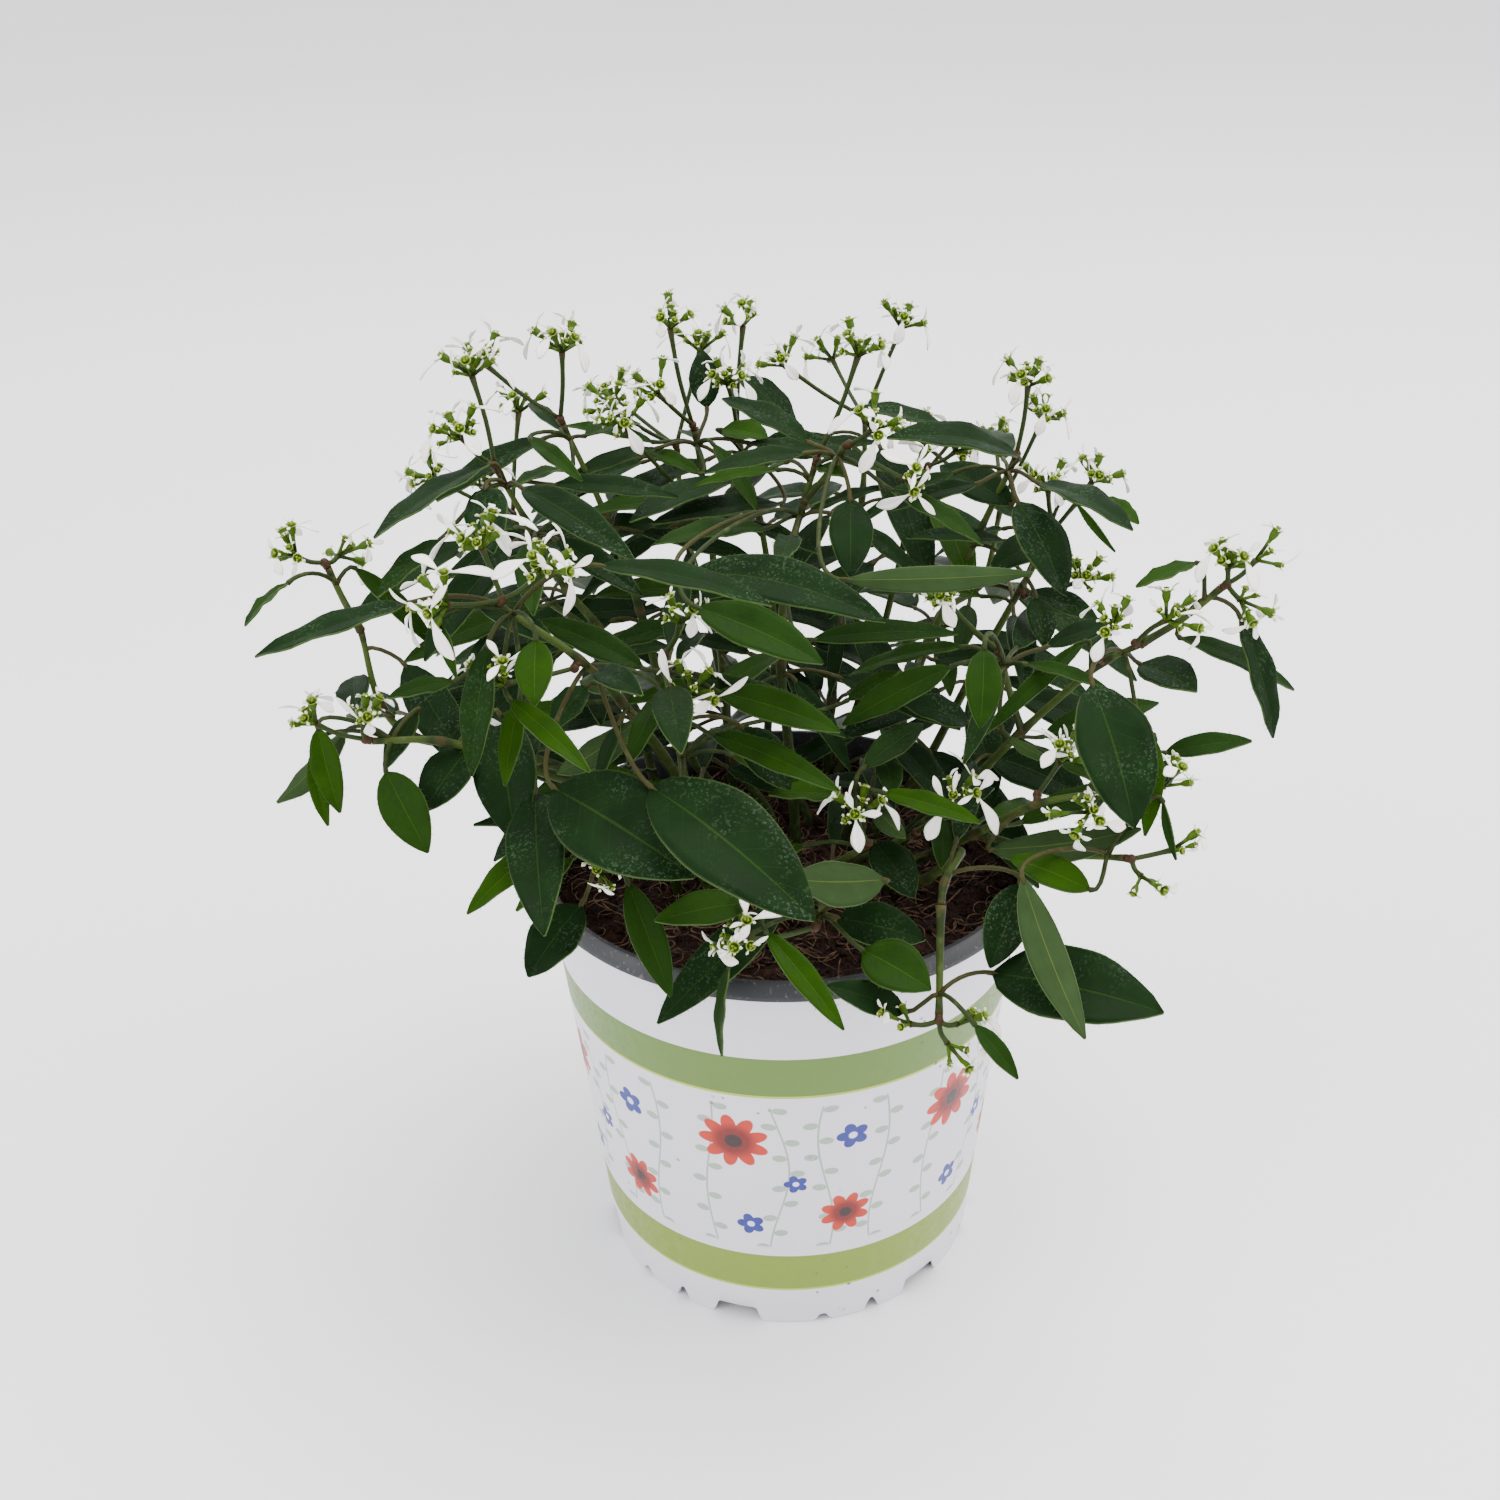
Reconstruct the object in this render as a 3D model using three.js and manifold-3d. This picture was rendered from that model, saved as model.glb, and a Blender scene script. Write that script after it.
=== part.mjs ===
// Potted euphorbia: a thin plastic nursery pot, its soil, leafy stems and sprays of small white flowers.
// Millimetres, +Z up. The origin is the middle of the pot's foot, on the surface that it stands on.

import * as THREE from "three";
import { mergeGeometries, mergeVertices } from "three/addons/utils/BufferGeometryUtils.js";
import Module from "manifold-3d";

const wasm = await Module();
wasm.setup();

// Driving dimensions
const RIM_RADIUS = 60;
const POT_HEIGHT = 110.5;
const LIP_BOTTOM = 106.5;
const LIP_TOP_RADIUS = 58.4;
const WALL_TOP_RADIUS = 57.8;
const FOOT_RADIUS = 47.2;
const WALL = 1.3;
const FLOOR_HEIGHT = 4.5;
const FLOOR_THICKNESS = 1.5;
const FOOT_RING_WIDTH = 5;
const DRAIN_HOLE_RADIUS = 4;
const DRAIN_HOLE_RING = 26;
const SOIL_TOP = 103;
const SOIL_BUMP = 1.1;
const STEM_DEPTH = 15;
const GAP = 0.35;

const STEM_RADIUS = 1.5;
const STEM_TIP_RADIUS = 0.6;
const BRANCH_RADIUS = 0.85;
const PEDUNCLE_RADIUS = 0.65;
const PEDICEL_RADIUS = 0.5;
const PETIOLE_RADIUS = 0.55;
const KNOB_RADIUS = 1;
const HUB_RADIUS = 0.75;
const CUP_RADIUS = 1.1;
const CUP_HEIGHT = 2.8;
const BLADE_THICKNESS = 1;
const BRACT_THICKNESS = 0.8;
const FOLD = 0.15;
const BUD_BELOW = 4;

// The reach that the leaves keep within
const REACH = { x: 107, y: 96, floor: 40 };

// The photograph that the plant is measured from: its size in pixels, and where it was taken from
const PHOTO_CENTRE = 750;
const LENS = 1717;
const EYE = new THREE.Vector3(-3.6, -356, 324.6);
const YAW = -0.67;
const PITCH = 27.97;
const ROLL = -1.41;

const rad = THREE.MathUtils.degToRad;
const UP = new THREE.Vector3(0, 0, 1);

const forward = new THREE.Vector3(
  Math.sin(rad(YAW)) * Math.cos(rad(PITCH)),
  Math.cos(rad(YAW)) * Math.cos(rad(PITCH)),
  -Math.sin(rad(PITCH)),
);
const across = new THREE.Vector3(Math.cos(rad(YAW)), -Math.sin(rad(YAW)), 0);
const upright = across.clone().cross(forward);
const sight = {
  right: across.clone().multiplyScalar(Math.cos(rad(ROLL))).addScaledVector(upright, Math.sin(rad(ROLL))),
  up: upright.clone().multiplyScalar(Math.cos(rad(ROLL))).addScaledVector(across, -Math.sin(rad(ROLL))),
};

// A place on the plant: its column and row in the photograph, and how far it lies behind the pot's axis
function seen([column, row, behind]) {
  const ray = forward.clone()
    .addScaledVector(sight.right, (column - PHOTO_CENTRE) / LENS)
    .addScaledVector(sight.up, -(row - PHOTO_CENTRE) / LENS);
  return EYE.clone().addScaledVector(ray, (behind - EYE.y) / ray.y);
}

// Spread evenly between 0 and 1 as the count goes up
function vary(count) {
  return (count * 0.618034) % 1;
}

function middleOf(points) {
  return points.reduce((sum, point) => sum.add(point), new THREE.Vector3()).divideScalar(points.length);
}

// Solids from geometry

function solidOf(geometry) {
  const bare = geometry.clone();
  bare.deleteAttribute("normal");
  bare.deleteAttribute("uv");
  const merged = mergeVertices(bare, 1e-4);
  const corners = merged.index.array;
  const triangles = [];
  for (let i = 0; i < corners.length; i += 3) {
    const [a, b, c] = corners.slice(i, i + 3);
    if (a !== b && b !== c && c !== a) triangles.push(a, b, c);
  }
  return new wasm.Manifold(new wasm.Mesh({
    numProp: 3,
    vertProperties: new Float32Array(merged.attributes.position.array),
    triVerts: new Uint32Array(triangles),
  }));
}

// Moves every corner of a geometry to where a rule puts it
function reshape(geometry, rule) {
  const corners = geometry.attributes.position;
  const corner = new THREE.Vector3();
  for (let i = 0; i < corners.count; i += 1) {
    corner.fromBufferAttribute(corners, i);
    const moved = rule(corner);
    corners.setXYZ(i, moved.x, moved.y, moved.z);
  }
  return geometry;
}

function turnFaces(geometry) {
  const order = geometry.index;
  for (let i = 0; i < order.count; i += 3) {
    const first = order.getX(i);
    order.setX(i, order.getX(i + 1));
    order.setX(i + 1, first);
  }
  return geometry;
}

// An open tube closed with flat ends
function cappedTube(startRadius, endRadius, sides, steps) {
  const tube = new THREE.CylinderGeometry(endRadius, startRadius, 1, sides, steps, true);
  const corners = [...tube.index.array];
  const lastRing = steps * (sides + 1);
  for (let side = 1; side < sides - 1; side += 1) {
    corners.push(0, side, side + 1);
    corners.push(lastRing, lastRing + side + 1, lastRing + side);
  }
  return tube.setIndex(corners);
}

// A tapered stalk along a curve
function stalk(curve, startRadius, endRadius, sides, steps) {
  const level = curve.getPoint(1).sub(curve.getPoint(0)).normalize().cross(UP);
  const aside = level.length() > 0.2 ? level.normalize() : new THREE.Vector3(1, 0, 0);
  return solidOf(reshape(cappedTube(startRadius, endRadius, sides, steps), ({ x, y, z }) => {
    const along = y + 0.5;
    const tangent = curve.getTangent(along);
    const second = aside.clone().addScaledVector(tangent, -aside.dot(tangent)).normalize();
    const first = tangent.clone().cross(second);
    return curve.getPoint(along).addScaledVector(first, x).addScaledVector(second, z);
  }));
}

function straight(from, to) {
  return new THREE.LineCurve3(from, to);
}

// A thin strip with a diamond section, split into triangles alike on both faces. Each row gives its middle,
// the way its upper face looks, half its width, half its thickness and how far its edges are folded up.
function strip(rows) {
  const sheet = (side) => reshape(new THREE.PlaneGeometry(2, 1, 2, rows.length - 1), ({ x, y }) => {
    const { point, tangent, face, half, thick, lift } = rows[Math.round((0.5 - y) * (rows.length - 1))];
    const sideways = face.clone().cross(tangent).normalize();
    const outward = tangent.clone().cross(sideways);
    return point.clone()
      .addScaledVector(sideways, x * half)
      .addScaledVector(outward, Math.abs(x) * lift + side * thick * (1 - Math.abs(x)));
  });
  const faces = mergeGeometries([sheet(1), turnFaces(sheet(-1))]);
  const perSheet = rows.length * 3;
  faces.setIndex([...faces.index.array, 0, 1, perSheet + 1, 1, 2, perSheet + 1]);
  return solidOf(faces);
}

function flatTo(axis, facing) {
  return facing.clone().addScaledVector(axis, -facing.dot(axis)).normalize();
}

function bladeHalf(along, width) {
  return (width / 2) * Math.sin(Math.PI * along ** 0.9) ** 0.8;
}

// Placed solids, by node, each with the space that it takes
const nodes = new Map();
const placed = [];

function boxesMeet(a, b) {
  return [0, 1, 2].every((i) => a.min[i] < b.max[i] && b.min[i] < a.max[i]);
}

function isClear(body, blocks) {
  const box = body.boundingBox();
  return !placed.some((other) => (
    blocks(other) && boxesMeet(box, other.box) && !body.intersect(other.body).isEmpty()
  ));
}

function place(node, body, kind) {
  if (!nodes.has(node)) nodes.set(node, []);
  nodes.get(node).push(body);
  placed.push({ node, body, kind, box: body.boundingBox() });
}

function elsewhere(node) {
  return (other) => other.node !== node;
}

// The pot: a tapered wall with a sloped collar, on a floor that a notched ring lifts off the table

function buildPot() {
  const inner = (radius) => radius - WALL;
  const profile = [
    [0, FLOOR_HEIGHT],
    [FOOT_RADIUS - FOOT_RING_WIDTH, FLOOR_HEIGHT],
    [FOOT_RADIUS - FOOT_RING_WIDTH, 0],
    [FOOT_RADIUS, 0],
    [WALL_TOP_RADIUS, LIP_BOTTOM],
    [RIM_RADIUS, LIP_BOTTOM],
    [RIM_RADIUS, LIP_BOTTOM + 1.2],
    [LIP_TOP_RADIUS, POT_HEIGHT],
    [inner(LIP_TOP_RADIUS), POT_HEIGHT],
    [inner(WALL_TOP_RADIUS), LIP_BOTTOM],
    [inner(FOOT_RADIUS) + 0.6, FLOOR_HEIGHT + FLOOR_THICKNESS],
    [0, FLOOR_HEIGHT + FLOOR_THICKNESS],
  ].map(([radius, height]) => new THREE.Vector2(radius, height));
  let pot = solidOf(new THREE.LatheGeometry(profile, 28).rotateX(Math.PI / 2));
  const radius = FOOT_RADIUS - FOOT_RING_WIDTH / 2;
  const notches = [
    { at: -17, wide: 15, high: 4 },
    { at: 9, wide: 5, high: 2 },
    { at: 24.5, wide: 5, high: 3.5 },
  ];
  for (let turn = 0; turn < 360; turn += 60) {
    for (const notch of notches) {
      const length = 2 * radius * Math.tan(rad(notch.wide / 2));
      const cutter = new THREE.BoxGeometry(length, FOOT_RING_WIDTH * 2, notch.high * 2)
        .translate(0, -radius, 0)
        .rotateZ(rad(notch.at + turn));
      pot = pot.subtract(solidOf(cutter));
    }
    const drain = new THREE.CylinderGeometry(DRAIN_HOLE_RADIUS, DRAIN_HOLE_RADIUS, 20, 6)
      .rotateX(Math.PI / 2)
      .translate(DRAIN_HOLE_RING, 0, 0)
      .rotateZ(rad(turn));
    pot = pot.subtract(solidOf(drain));
  }
  return pot;
}

// The soil fills the pot to just under its collar, with a loose, uneven top

function soilHeight(x, y) {
  const heaps = Math.sin(x * 0.23 + 1) * Math.cos(y * 0.19);
  const crumbs = 0.5 * Math.sin(x * 0.51 - y * 0.37);
  return SOIL_TOP + SOIL_BUMP * (heaps + crumbs);
}

function wallInside(height) {
  const rise = height / LIP_BOTTOM;
  return FOOT_RADIUS + (WALL_TOP_RADIUS - FOOT_RADIUS) * rise - WALL - GAP - 0.2;
}

function buildSoil() {
  const bottom = FLOOR_HEIGHT + FLOOR_THICKNESS + GAP;
  const rings = [54, 40, 22];
  const profile = [
    [0, bottom],
    [wallInside(bottom), bottom],
    [wallInside(SOIL_TOP), SOIL_TOP - 2],
    ...rings.map((radius) => [radius, SOIL_TOP]),
    [0, SOIL_TOP],
  ].map(([radius, height]) => new THREE.Vector2(radius, height));
  const lump = new THREE.LatheGeometry(profile, 18).rotateX(Math.PI / 2);
  return solidOf(reshape(lump, ({ x, y, z }) => (
    new THREE.Vector3(x, y, z > SOIL_TOP - 1 ? soilHeight(x, y) : z)
  )));
}

function stemHole([x, y]) {
  const radius = (STEM_RADIUS + GAP) * Math.SQRT2;
  const length = STEM_DEPTH + 12;
  return solidOf(new THREE.CylinderGeometry(radius, radius, length, 4)
    .rotateX(Math.PI / 2)
    .translate(x, y, SOIL_TOP - STEM_DEPTH - GAP + length / 2));
}

// The shoots. Places are written as seen: column, row and how far behind the axis. A stem's foot is x, y.
// Each spray leaves the stem joint given by "from", and ends in heads of flowers; "fork" is its own joint.
const shoots = [
  {
    name: "left_tall",
    foot: [-17, 7],
    stem: [[640, 720, 2], [598, 628, 4], [567, 590, 5], [527, 522, 6], [498, 472, 6]],
    sprays: [
      { from: 4, heads: [{ at: [462, 438, 0], cups: 5 }, { at: [472, 376, 10], cups: 4 }] },
    ],
    leaves: [
      { base: [490, 464, 2], tip: [374, 538, -28], width: 8, arch: 1.5, roll: 10 },
      { base: [522, 488, -2], tip: [634, 560, -32], width: 8 },
      { base: [485, 489, -6], tip: [494, 553, -26], width: 9.6 },
      { base: [612, 645, -6], tip: [688, 625, -10], width: 6 },
      { base: [440, 540, -18], tip: [378, 597, -30], width: 5.5 },
    ],
  },
  {
    name: "left_twin",
    foot: [-9, 13],
    stem: [[680, 740, 14], [640, 610, 20], [605, 514, 24], [563, 424, 24]],
    sprays: [
      { from: 3, heads: [{ at: [562, 352, 22], cups: 4 }, { at: [486, 365, 22], cups: 4 }] },
    ],
    leaves: [
      { base: [531, 440, 12], tip: [582, 481, -6], width: 4 },
      { base: [571, 470, 18], tip: [512, 488, -2], width: 5 },
      { base: [585, 436, 28], tip: [640, 424, 46], width: 6, roll: 10 },
      { base: [668, 646, 6], tip: [594, 659, -6], width: 6 },
    ],
  },
  {
    name: "far_left",
    bare: [1],
    foot: [-26, 1],
    stem: [[610, 790, -6], [510, 752, -14], [410, 735, -18], [381, 704, -18], [361, 631, -14]],
    sprays: [
      {
        from: 4,
        fork: [328, 568, -14],
        heads: [{ at: [296, 556, -16], cups: 3, bract: 6 }, { at: [338, 556, -10], cups: 2, bract: 6 }],
      },
    ],
    leaves: [
      { base: [288, 583, -26], tip: [245, 626, -38], width: 4, roll: 20 },
      { base: [355, 568, -10], tip: [434, 646, -4], width: 5 },
      { base: [405, 665, -20], tip: [477, 778, -44], width: 10 },
      { base: [357, 707, -26], tip: [354, 677, -12], width: 8 },
    ],
  },
  {
    name: "mid_left",
    foot: [-14, -7],
    stem: [[680, 780, -14], [620, 700, -30], [579, 659, -42], [497, 604, -46]],
    sprays: [
      { from: 2, heads: [{ at: [505, 684, -56], cups: 3, bract: 10 }] },
      {
        from: 3,
        heads: [
          { at: [447, 605, -52], cups: 4, bract: 11 },
          { at: [482, 548, -44], cups: 4, bract: 10 },
          { at: [540, 572, -52], cups: 4, bract: 10 },
        ],
      },
    ],
    leaves: [
      { base: [651, 787, -66], tip: [815, 921, -92], width: 18.5, arch: 4 },
      { base: [554, 788, -58], tip: [694, 878, -80], width: 20 },
      { base: [406, 604, -46], tip: [255, 657, -54], width: 8, arch: 0.8, roll: 20 },
      { base: [510, 700, -60], tip: [590, 772, -78], width: 4.8 },
      { base: [520, 700, -52], tip: [505, 786, -66], width: 4.8 },
      { base: [536, 640, -58], tip: [535, 706, -68], width: 7.4 },
      { base: [440, 625, -54], tip: [456, 677, -62], width: 2.6 },
      { base: [453, 682, -48], tip: [388, 698, -56], width: 4.4 },
      { base: [488, 645, -54], tip: [472, 776, -68], width: 6.6 },
      { base: [660, 696, -44], tip: [628, 766, -58], width: 4.8 },
      { base: [636, 722, -30], tip: [558, 774, -46], width: 7.5, under: true },
      { base: [586, 686, -30], tip: [552, 730, -38], width: 7 },
      { base: [600, 566, -46], tip: [772, 606, -56], width: 7, roll: -20 },
    ],
  },
  {
    name: "low_left",
    foot: [-26, -10],
    stem: [[610, 800, -26], [520, 765, -36], [440, 741, -42], [372, 741, -44]],
    sprays: [
      {
        from: 3,
        heads: [{ at: [364, 724, -44], cups: 3, bract: 4 }, { at: [316, 724, -46], cups: 2, bract: 5 }],
      },
    ],
    leaves: [
      { base: [318, 728, -52], tip: [340, 813, -62], width: 6.3 },
      { base: [312, 752, -44], tip: [328, 826, -52], width: 4 },
      { base: [345, 732, -38], tip: [277, 803, -44], width: 6.5, under: true },
      { base: [386, 772, -48], tip: [428, 853, -60], width: 9.4 },
      { base: [500, 714, -34], tip: [516, 842, -54], width: 13.5 },
      { base: [418, 712, -34], tip: [385, 769, -42], width: 5.8 },
      { base: [470, 748, -40], tip: [424, 812, -50], width: 11 },
    ],
  },
  {
    name: "front_left",
    foot: [-17, -19],
    stem: [[680, 850, -36], [625, 842, -50], [590, 838, -56]],
    sprays: [{ from: 2, heads: [{ at: [600, 872, -66], cups: 2, bract: 8 }] }],
    leaves: [
      { base: [553, 836, -60], tip: [467, 914, -72], width: 6 },
      { base: [573, 858, -62], tip: [516, 911, -72], width: 4 },
      { base: [581, 905, -60], tip: [528, 977, -72], width: 10.8 },
      { base: [628, 883, -66], tip: [671, 997, -80], width: 7 },
      { base: [747, 903, -64], tip: [655, 921, -74], width: 7.6 },
    ],
  },
  {
    name: "front_mid",
    foot: [0, -23],
    stem: [[818, 880, -38], [822, 903, -50], [818, 925, -60]],
    sprays: [{ from: 2, heads: [{ at: [745, 940, -72], cups: 4, bract: 10 }] }],
    leaves: [
      { base: [729, 966, -72], tip: [722, 1056, -80], width: 4, roll: 55 },
      { base: [766, 932, -74], tip: [844, 1030, -88], width: 5.4 },
      { base: [863, 950, -66], tip: [931, 990, -76], width: 11.3 },
      { base: [838, 918, -52], tip: [925, 940, -62], width: 10 },
      { base: [885, 880, -56], tip: [793, 880, -66], width: 10.4, under: true },
    ],
  },
  {
    name: "front_bloom",
    foot: [8, -14],
    stem: [[835, 865, -26], [868, 846, -38]],
    sprays: [{ from: 1, heads: [{ at: [858, 814, -42], cups: 4, bract: 9 }] }],
    leaves: [
      { base: [841, 797, -44], tip: [769, 795, -52], width: 6, roll: 20 },
      { base: [875, 842, -46], tip: [914, 898, -58], width: 9.6 },
      { base: [864, 767, -36], tip: [923, 724, -20], width: 6.2 },
      { base: [885, 758, -26], tip: [893, 795, -36], width: 6 },
    ],
  },
  {
    name: "right_bloom",
    foot: [16, -6],
    stem: [[880, 850, -18], [914, 834, -30]],
    sprays: [{ from: 1, heads: [{ at: [954, 797, -42], cups: 3, bract: 11 }] }],
    leaves: [
      { base: [884, 793, -46], tip: [981, 823, -56], width: 5 },
      { base: [873, 806, -32], tip: [905, 838, -42], width: 4.8, under: true },
      { base: [943, 820, -34], tip: [941, 868, -44], width: 5 },
    ],
  },
  {
    name: "front_right",
    bare: [1, 3],
    foot: [19, -16],
    stem: [[925, 880, -32], [960, 852, -42], [944, 884, -56], [941, 905, -60]],
    sprays: [
      {
        from: 3,
        fork: [939, 1014, -74],
        heads: [
          { at: [910, 1024, -76], cups: 1, bract: 6 },
          { at: [958, 1024, -76], cups: 1, bract: 8 },
          { at: [948, 1044, -78], cups: 1, bract: 6 },
        ],
      },
    ],
    leaves: [
      { base: [992, 973, -66], tip: [1164, 1013, -84], width: 17 },
      { base: [975, 1025, -80], tip: [1018, 1079, -88], width: 4.2 },
      { base: [905, 1012, -76], tip: [826, 985, -78], width: 6.7 },
      { base: [1020, 884, -56], tip: [990, 968, -68], width: 9.2 },
    ],
  },
  {
    name: "right_low",
    bare: [1],
    foot: [25, -9],
    stem: [[940, 850, -22], [977, 833, -34], [1037, 804, -44], [1101, 792, -50]],
    sprays: [
      {
        from: 3,
        heads: [{ at: [1165, 786, -50], cups: 2, bract: 5 }, { at: [1090, 812, -56], cups: 3, bract: 6 }],
      },
      { from: 2, heads: [{ at: [1060, 762, -40], cups: 3, bract: 8 }] },
      {
        from: 1,
        fork: [1125, 858, -58],
        heads: [{ at: [1172, 850, -58], cups: 1, bract: 5 }, { at: [1141, 876, -62], cups: 1, bract: 5 }],
      },
    ],
    leaves: [
      { base: [1022, 878, -64], tip: [1085, 1039, -90], width: 8.2, under: true },
      { base: [990, 850, -48], tip: [1141, 829, -60], width: 8.2, under: true },
      { base: [1090, 890, -64], tip: [1010, 858, -56], width: 7.5 },
      { base: [1155, 740, -46], tip: [1145, 836, -56], width: 4.8 },
      { base: [1163, 802, -54], tip: [1176, 860, -60], width: 2, roll: 50 },
    ],
  },
  {
    name: "right_main",
    foot: [27, 2],
    stem: [[930, 810, -2], [973, 779, -8], [1022, 731, -16], [1104, 662, -24], [1139, 645, -26]],
    sprays: [
      { from: 3, heads: [{ at: [1112, 628, -30], cups: 3, bract: 7 }] },
      {
        from: 4,
        fork: [1221, 588, -26],
        heads: [
          { at: [1228, 568, -26], cups: 3, bract: 8 },
          { at: [1256, 560, -24], cups: 1, bract: 4 },
          { at: [1240, 600, -28], cups: 2, bract: 7 },
        ],
      },
      { from: 4, heads: [{ at: [1166, 620, -32], cups: 3, bract: 6 }] },
      { from: 2, fork: [1001, 655, -22], heads: [{ at: [948, 603, -26], cups: 4, bract: 7 }] },
    ],
    leaves: [
      { base: [1092, 684, -38], tip: [1134, 828, -56], width: 17 },
      { base: [1180, 638, -22], tip: [1294, 690, -20], width: 5.8 },
      { base: [1240, 617, -24], tip: [1273, 738, -30], width: 7 },
      { base: [1196, 563, -26], tip: [1136, 587, -30], width: 5, arch: 0.5, roll: 30 },
      { base: [1140, 664, -18], tip: [1197, 692, -30], width: 11 },
      { base: [1085, 641, -22], tip: [981, 737, -34], width: 4 },
      { base: [984, 648, -34], tip: [980, 728, -44], width: 7.6 },
      { base: [1165, 753, -40], tip: [1252, 741, -44], width: 5.4 },
      { base: [968, 722, -8], tip: [902, 704, -14], width: 8 },
      { base: [992, 756, 2], tip: [1088, 800, -16], width: 14 },
      { base: [1008, 737, -30], tip: [1051, 761, -36], width: 3, under: true },
    ],
  },
  {
    name: "right_tall",
    foot: [15, 11],
    stem: [[880, 760, 16], [930, 640, 20], [980, 531, 20], [1015, 459, 16]],
    sprays: [{ from: 3, heads: [{ at: [1028, 386, 14], cups: 6, bract: 7 }] }],
    leaves: [
      { base: [1018, 502, 4], tip: [1064, 595, -12], width: 12 },
      { base: [1018, 457, 12], tip: [887, 438, -6], width: 9, arch: 3, roll: 5 },
      { base: [1012, 505, 14], tip: [940, 466, 34], width: 9, roll: -30 },
      { base: [1036, 598, 2], tip: [1044, 647, -8], width: 7 },
      { base: [936, 660, 8], tip: [1027, 662, -2], width: 7 },
    ],
  },
  {
    name: "right_upper",
    foot: [23, 15],
    stem: [[915, 780, 24], [975, 670, 26], [1020, 590, 24], [1053, 533, 20]],
    sprays: [
      {
        from: 3,
        heads: [{ at: [1048, 490, 16], cups: 5, bract: 6 }, { at: [1092, 482, 18], cups: 4, bract: 6 }],
      },
      { from: 2, heads: [{ at: [1082, 580, 8], cups: 4, bract: 5 }] },
    ],
    leaves: [
      { base: [1104, 498, 14], tip: [1139, 524, 8], width: 5 },
      { base: [1077, 504, 10], tip: [1115, 552, 0], width: 1.8, roll: 50 },
      { base: [1029, 592, 6], tip: [1099, 623, -6], width: 7.5 },
      { base: [1050, 537, 12], tip: [989, 571, -2], width: 8 },
    ],
  },
  {
    name: "centre_tall",
    foot: [3, 4],
    stem: [[790, 760, 4], [781, 660, 8], [788, 562, 12], [804, 502, 11], [815, 465, 10]],
    sprays: [
      { from: 4, heads: [{ at: [858, 356, 8], cups: 4, bract: 6 }] },
      {
        from: 3,
        fork: [845, 446, 4],
        heads: [{ at: [872, 430, 0], cups: 5, bract: 9 }, { at: [905, 480, -6], cups: 3, bract: 9 }],
      },
    ],
    leaves: [
      { base: [690, 574, -28], tip: [886, 622, -46], width: 11, arch: 5 },
      { base: [850, 500, -8], tip: [850, 577, -22], width: 9.4 },
      { base: [846, 580, -32], tip: [1033, 573, -40], width: 5.6, roll: 25, under: true },
      { base: [891, 490, -2], tip: [983, 545, -18], width: 5 },
      { base: [698, 608, -40], tip: [823, 664, -54], width: 9.8 },
      { base: [818, 467, 4], tip: [846, 477, -2], width: 5 },
      { base: [812, 640, -14], tip: [958, 634, -14], width: 6 },
    ],
  },
  {
    name: "centre_bloom",
    foot: [-5, -12],
    stem: [[690, 790, -22], [681, 750, -30], [683, 712, -36]],
    sprays: [
      { from: 2, heads: [{ at: [690, 694, -40], cups: 4, bract: 13 }] },
      { from: 1, fork: [664, 660, -34], heads: [{ at: [680, 622, -34], cups: 3, bract: 6 }] },
    ],
    leaves: [
      { base: [718, 692, -44], tip: [840, 732, -56], width: 7.8 },
      { base: [742, 728, -32], tip: [790, 790, -40], width: 9.2 },
      { base: [848, 700, -14], tip: [899, 671, -16], width: 4 },
    ],
  },
  {
    name: "top_left",
    foot: [-3, 20],
    stem: [[735, 760, 28], [720, 640, 34], [708, 510, 38], [694, 430, 38]],
    sprays: [
      {
        from: 3,
        heads: [{ at: [670, 328, 36], cups: 3, bract: 5 }, { at: [658, 394, 30], cups: 3, bract: 6 }],
      },
      { from: 2, heads: [{ at: [624, 428, 22], cups: 4, bract: 8 }] },
    ],
    leaves: [
      { base: [707, 408, 42], tip: [702, 350, 50], width: 7.5 },
      { base: [732, 479, 26], tip: [630, 522, -2], width: 9, arch: 1.5 },
      { base: [700, 474, 26], tip: [640, 449, 38], width: 4.4 },
    ],
  },
  {
    name: "top_mid",
    foot: [6, 22],
    stem: [[770, 760, 36], [775, 640, 44], [760, 520, 48], [738, 440, 50]],
    sprays: [
      {
        from: 3,
        heads: [{ at: [743, 326, 50], cups: 3, bract: 7 }, { at: [728, 384, 44], cups: 4, bract: 8 }],
      },
    ],
    leaves: [
      { base: [739, 378, 52], tip: [797, 426, 50], width: 10 },
      { base: [762, 444, 44], tip: [839, 452, 40], width: 8, roll: 25 },
      { base: [780, 504, 30], tip: [652, 524, 6], width: 9, arch: 1.5 },
      { base: [722, 430, 38], tip: [768, 438, 32], width: 8.5 },
    ],
  },
  {
    name: "top_right",
    bare: [1],
    foot: [14, 24],
    stem: [[840, 760, 38], [880, 640, 46], [905, 540, 50], [925, 470, 50]],
    sprays: [{ from: 3, heads: [{ at: [955, 452, 48], cups: 3, bract: 6 }] }],
    leaves: [
      { base: [949, 432, 44], tip: [850, 410, 40], width: 8, arch: 2, roll: 5 },
      { base: [958, 480, 42], tip: [1020, 520, 40], width: 8 },
    ],
  },
];

// The far side of the plant, which nobody sees in the photograph: one arching shoot every few degrees
const FAR_SHOOTS = [
  { name: "back_right", turn: 44, reach: 96, top: 178, bare: [3] },
  { name: "back_mid_right", turn: 72, reach: 92, top: 196 },
  { name: "back_mid_left", turn: 110, reach: 92, top: 190 },
  { name: "back_left", turn: 146, reach: 96, top: 182 },
];

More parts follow.
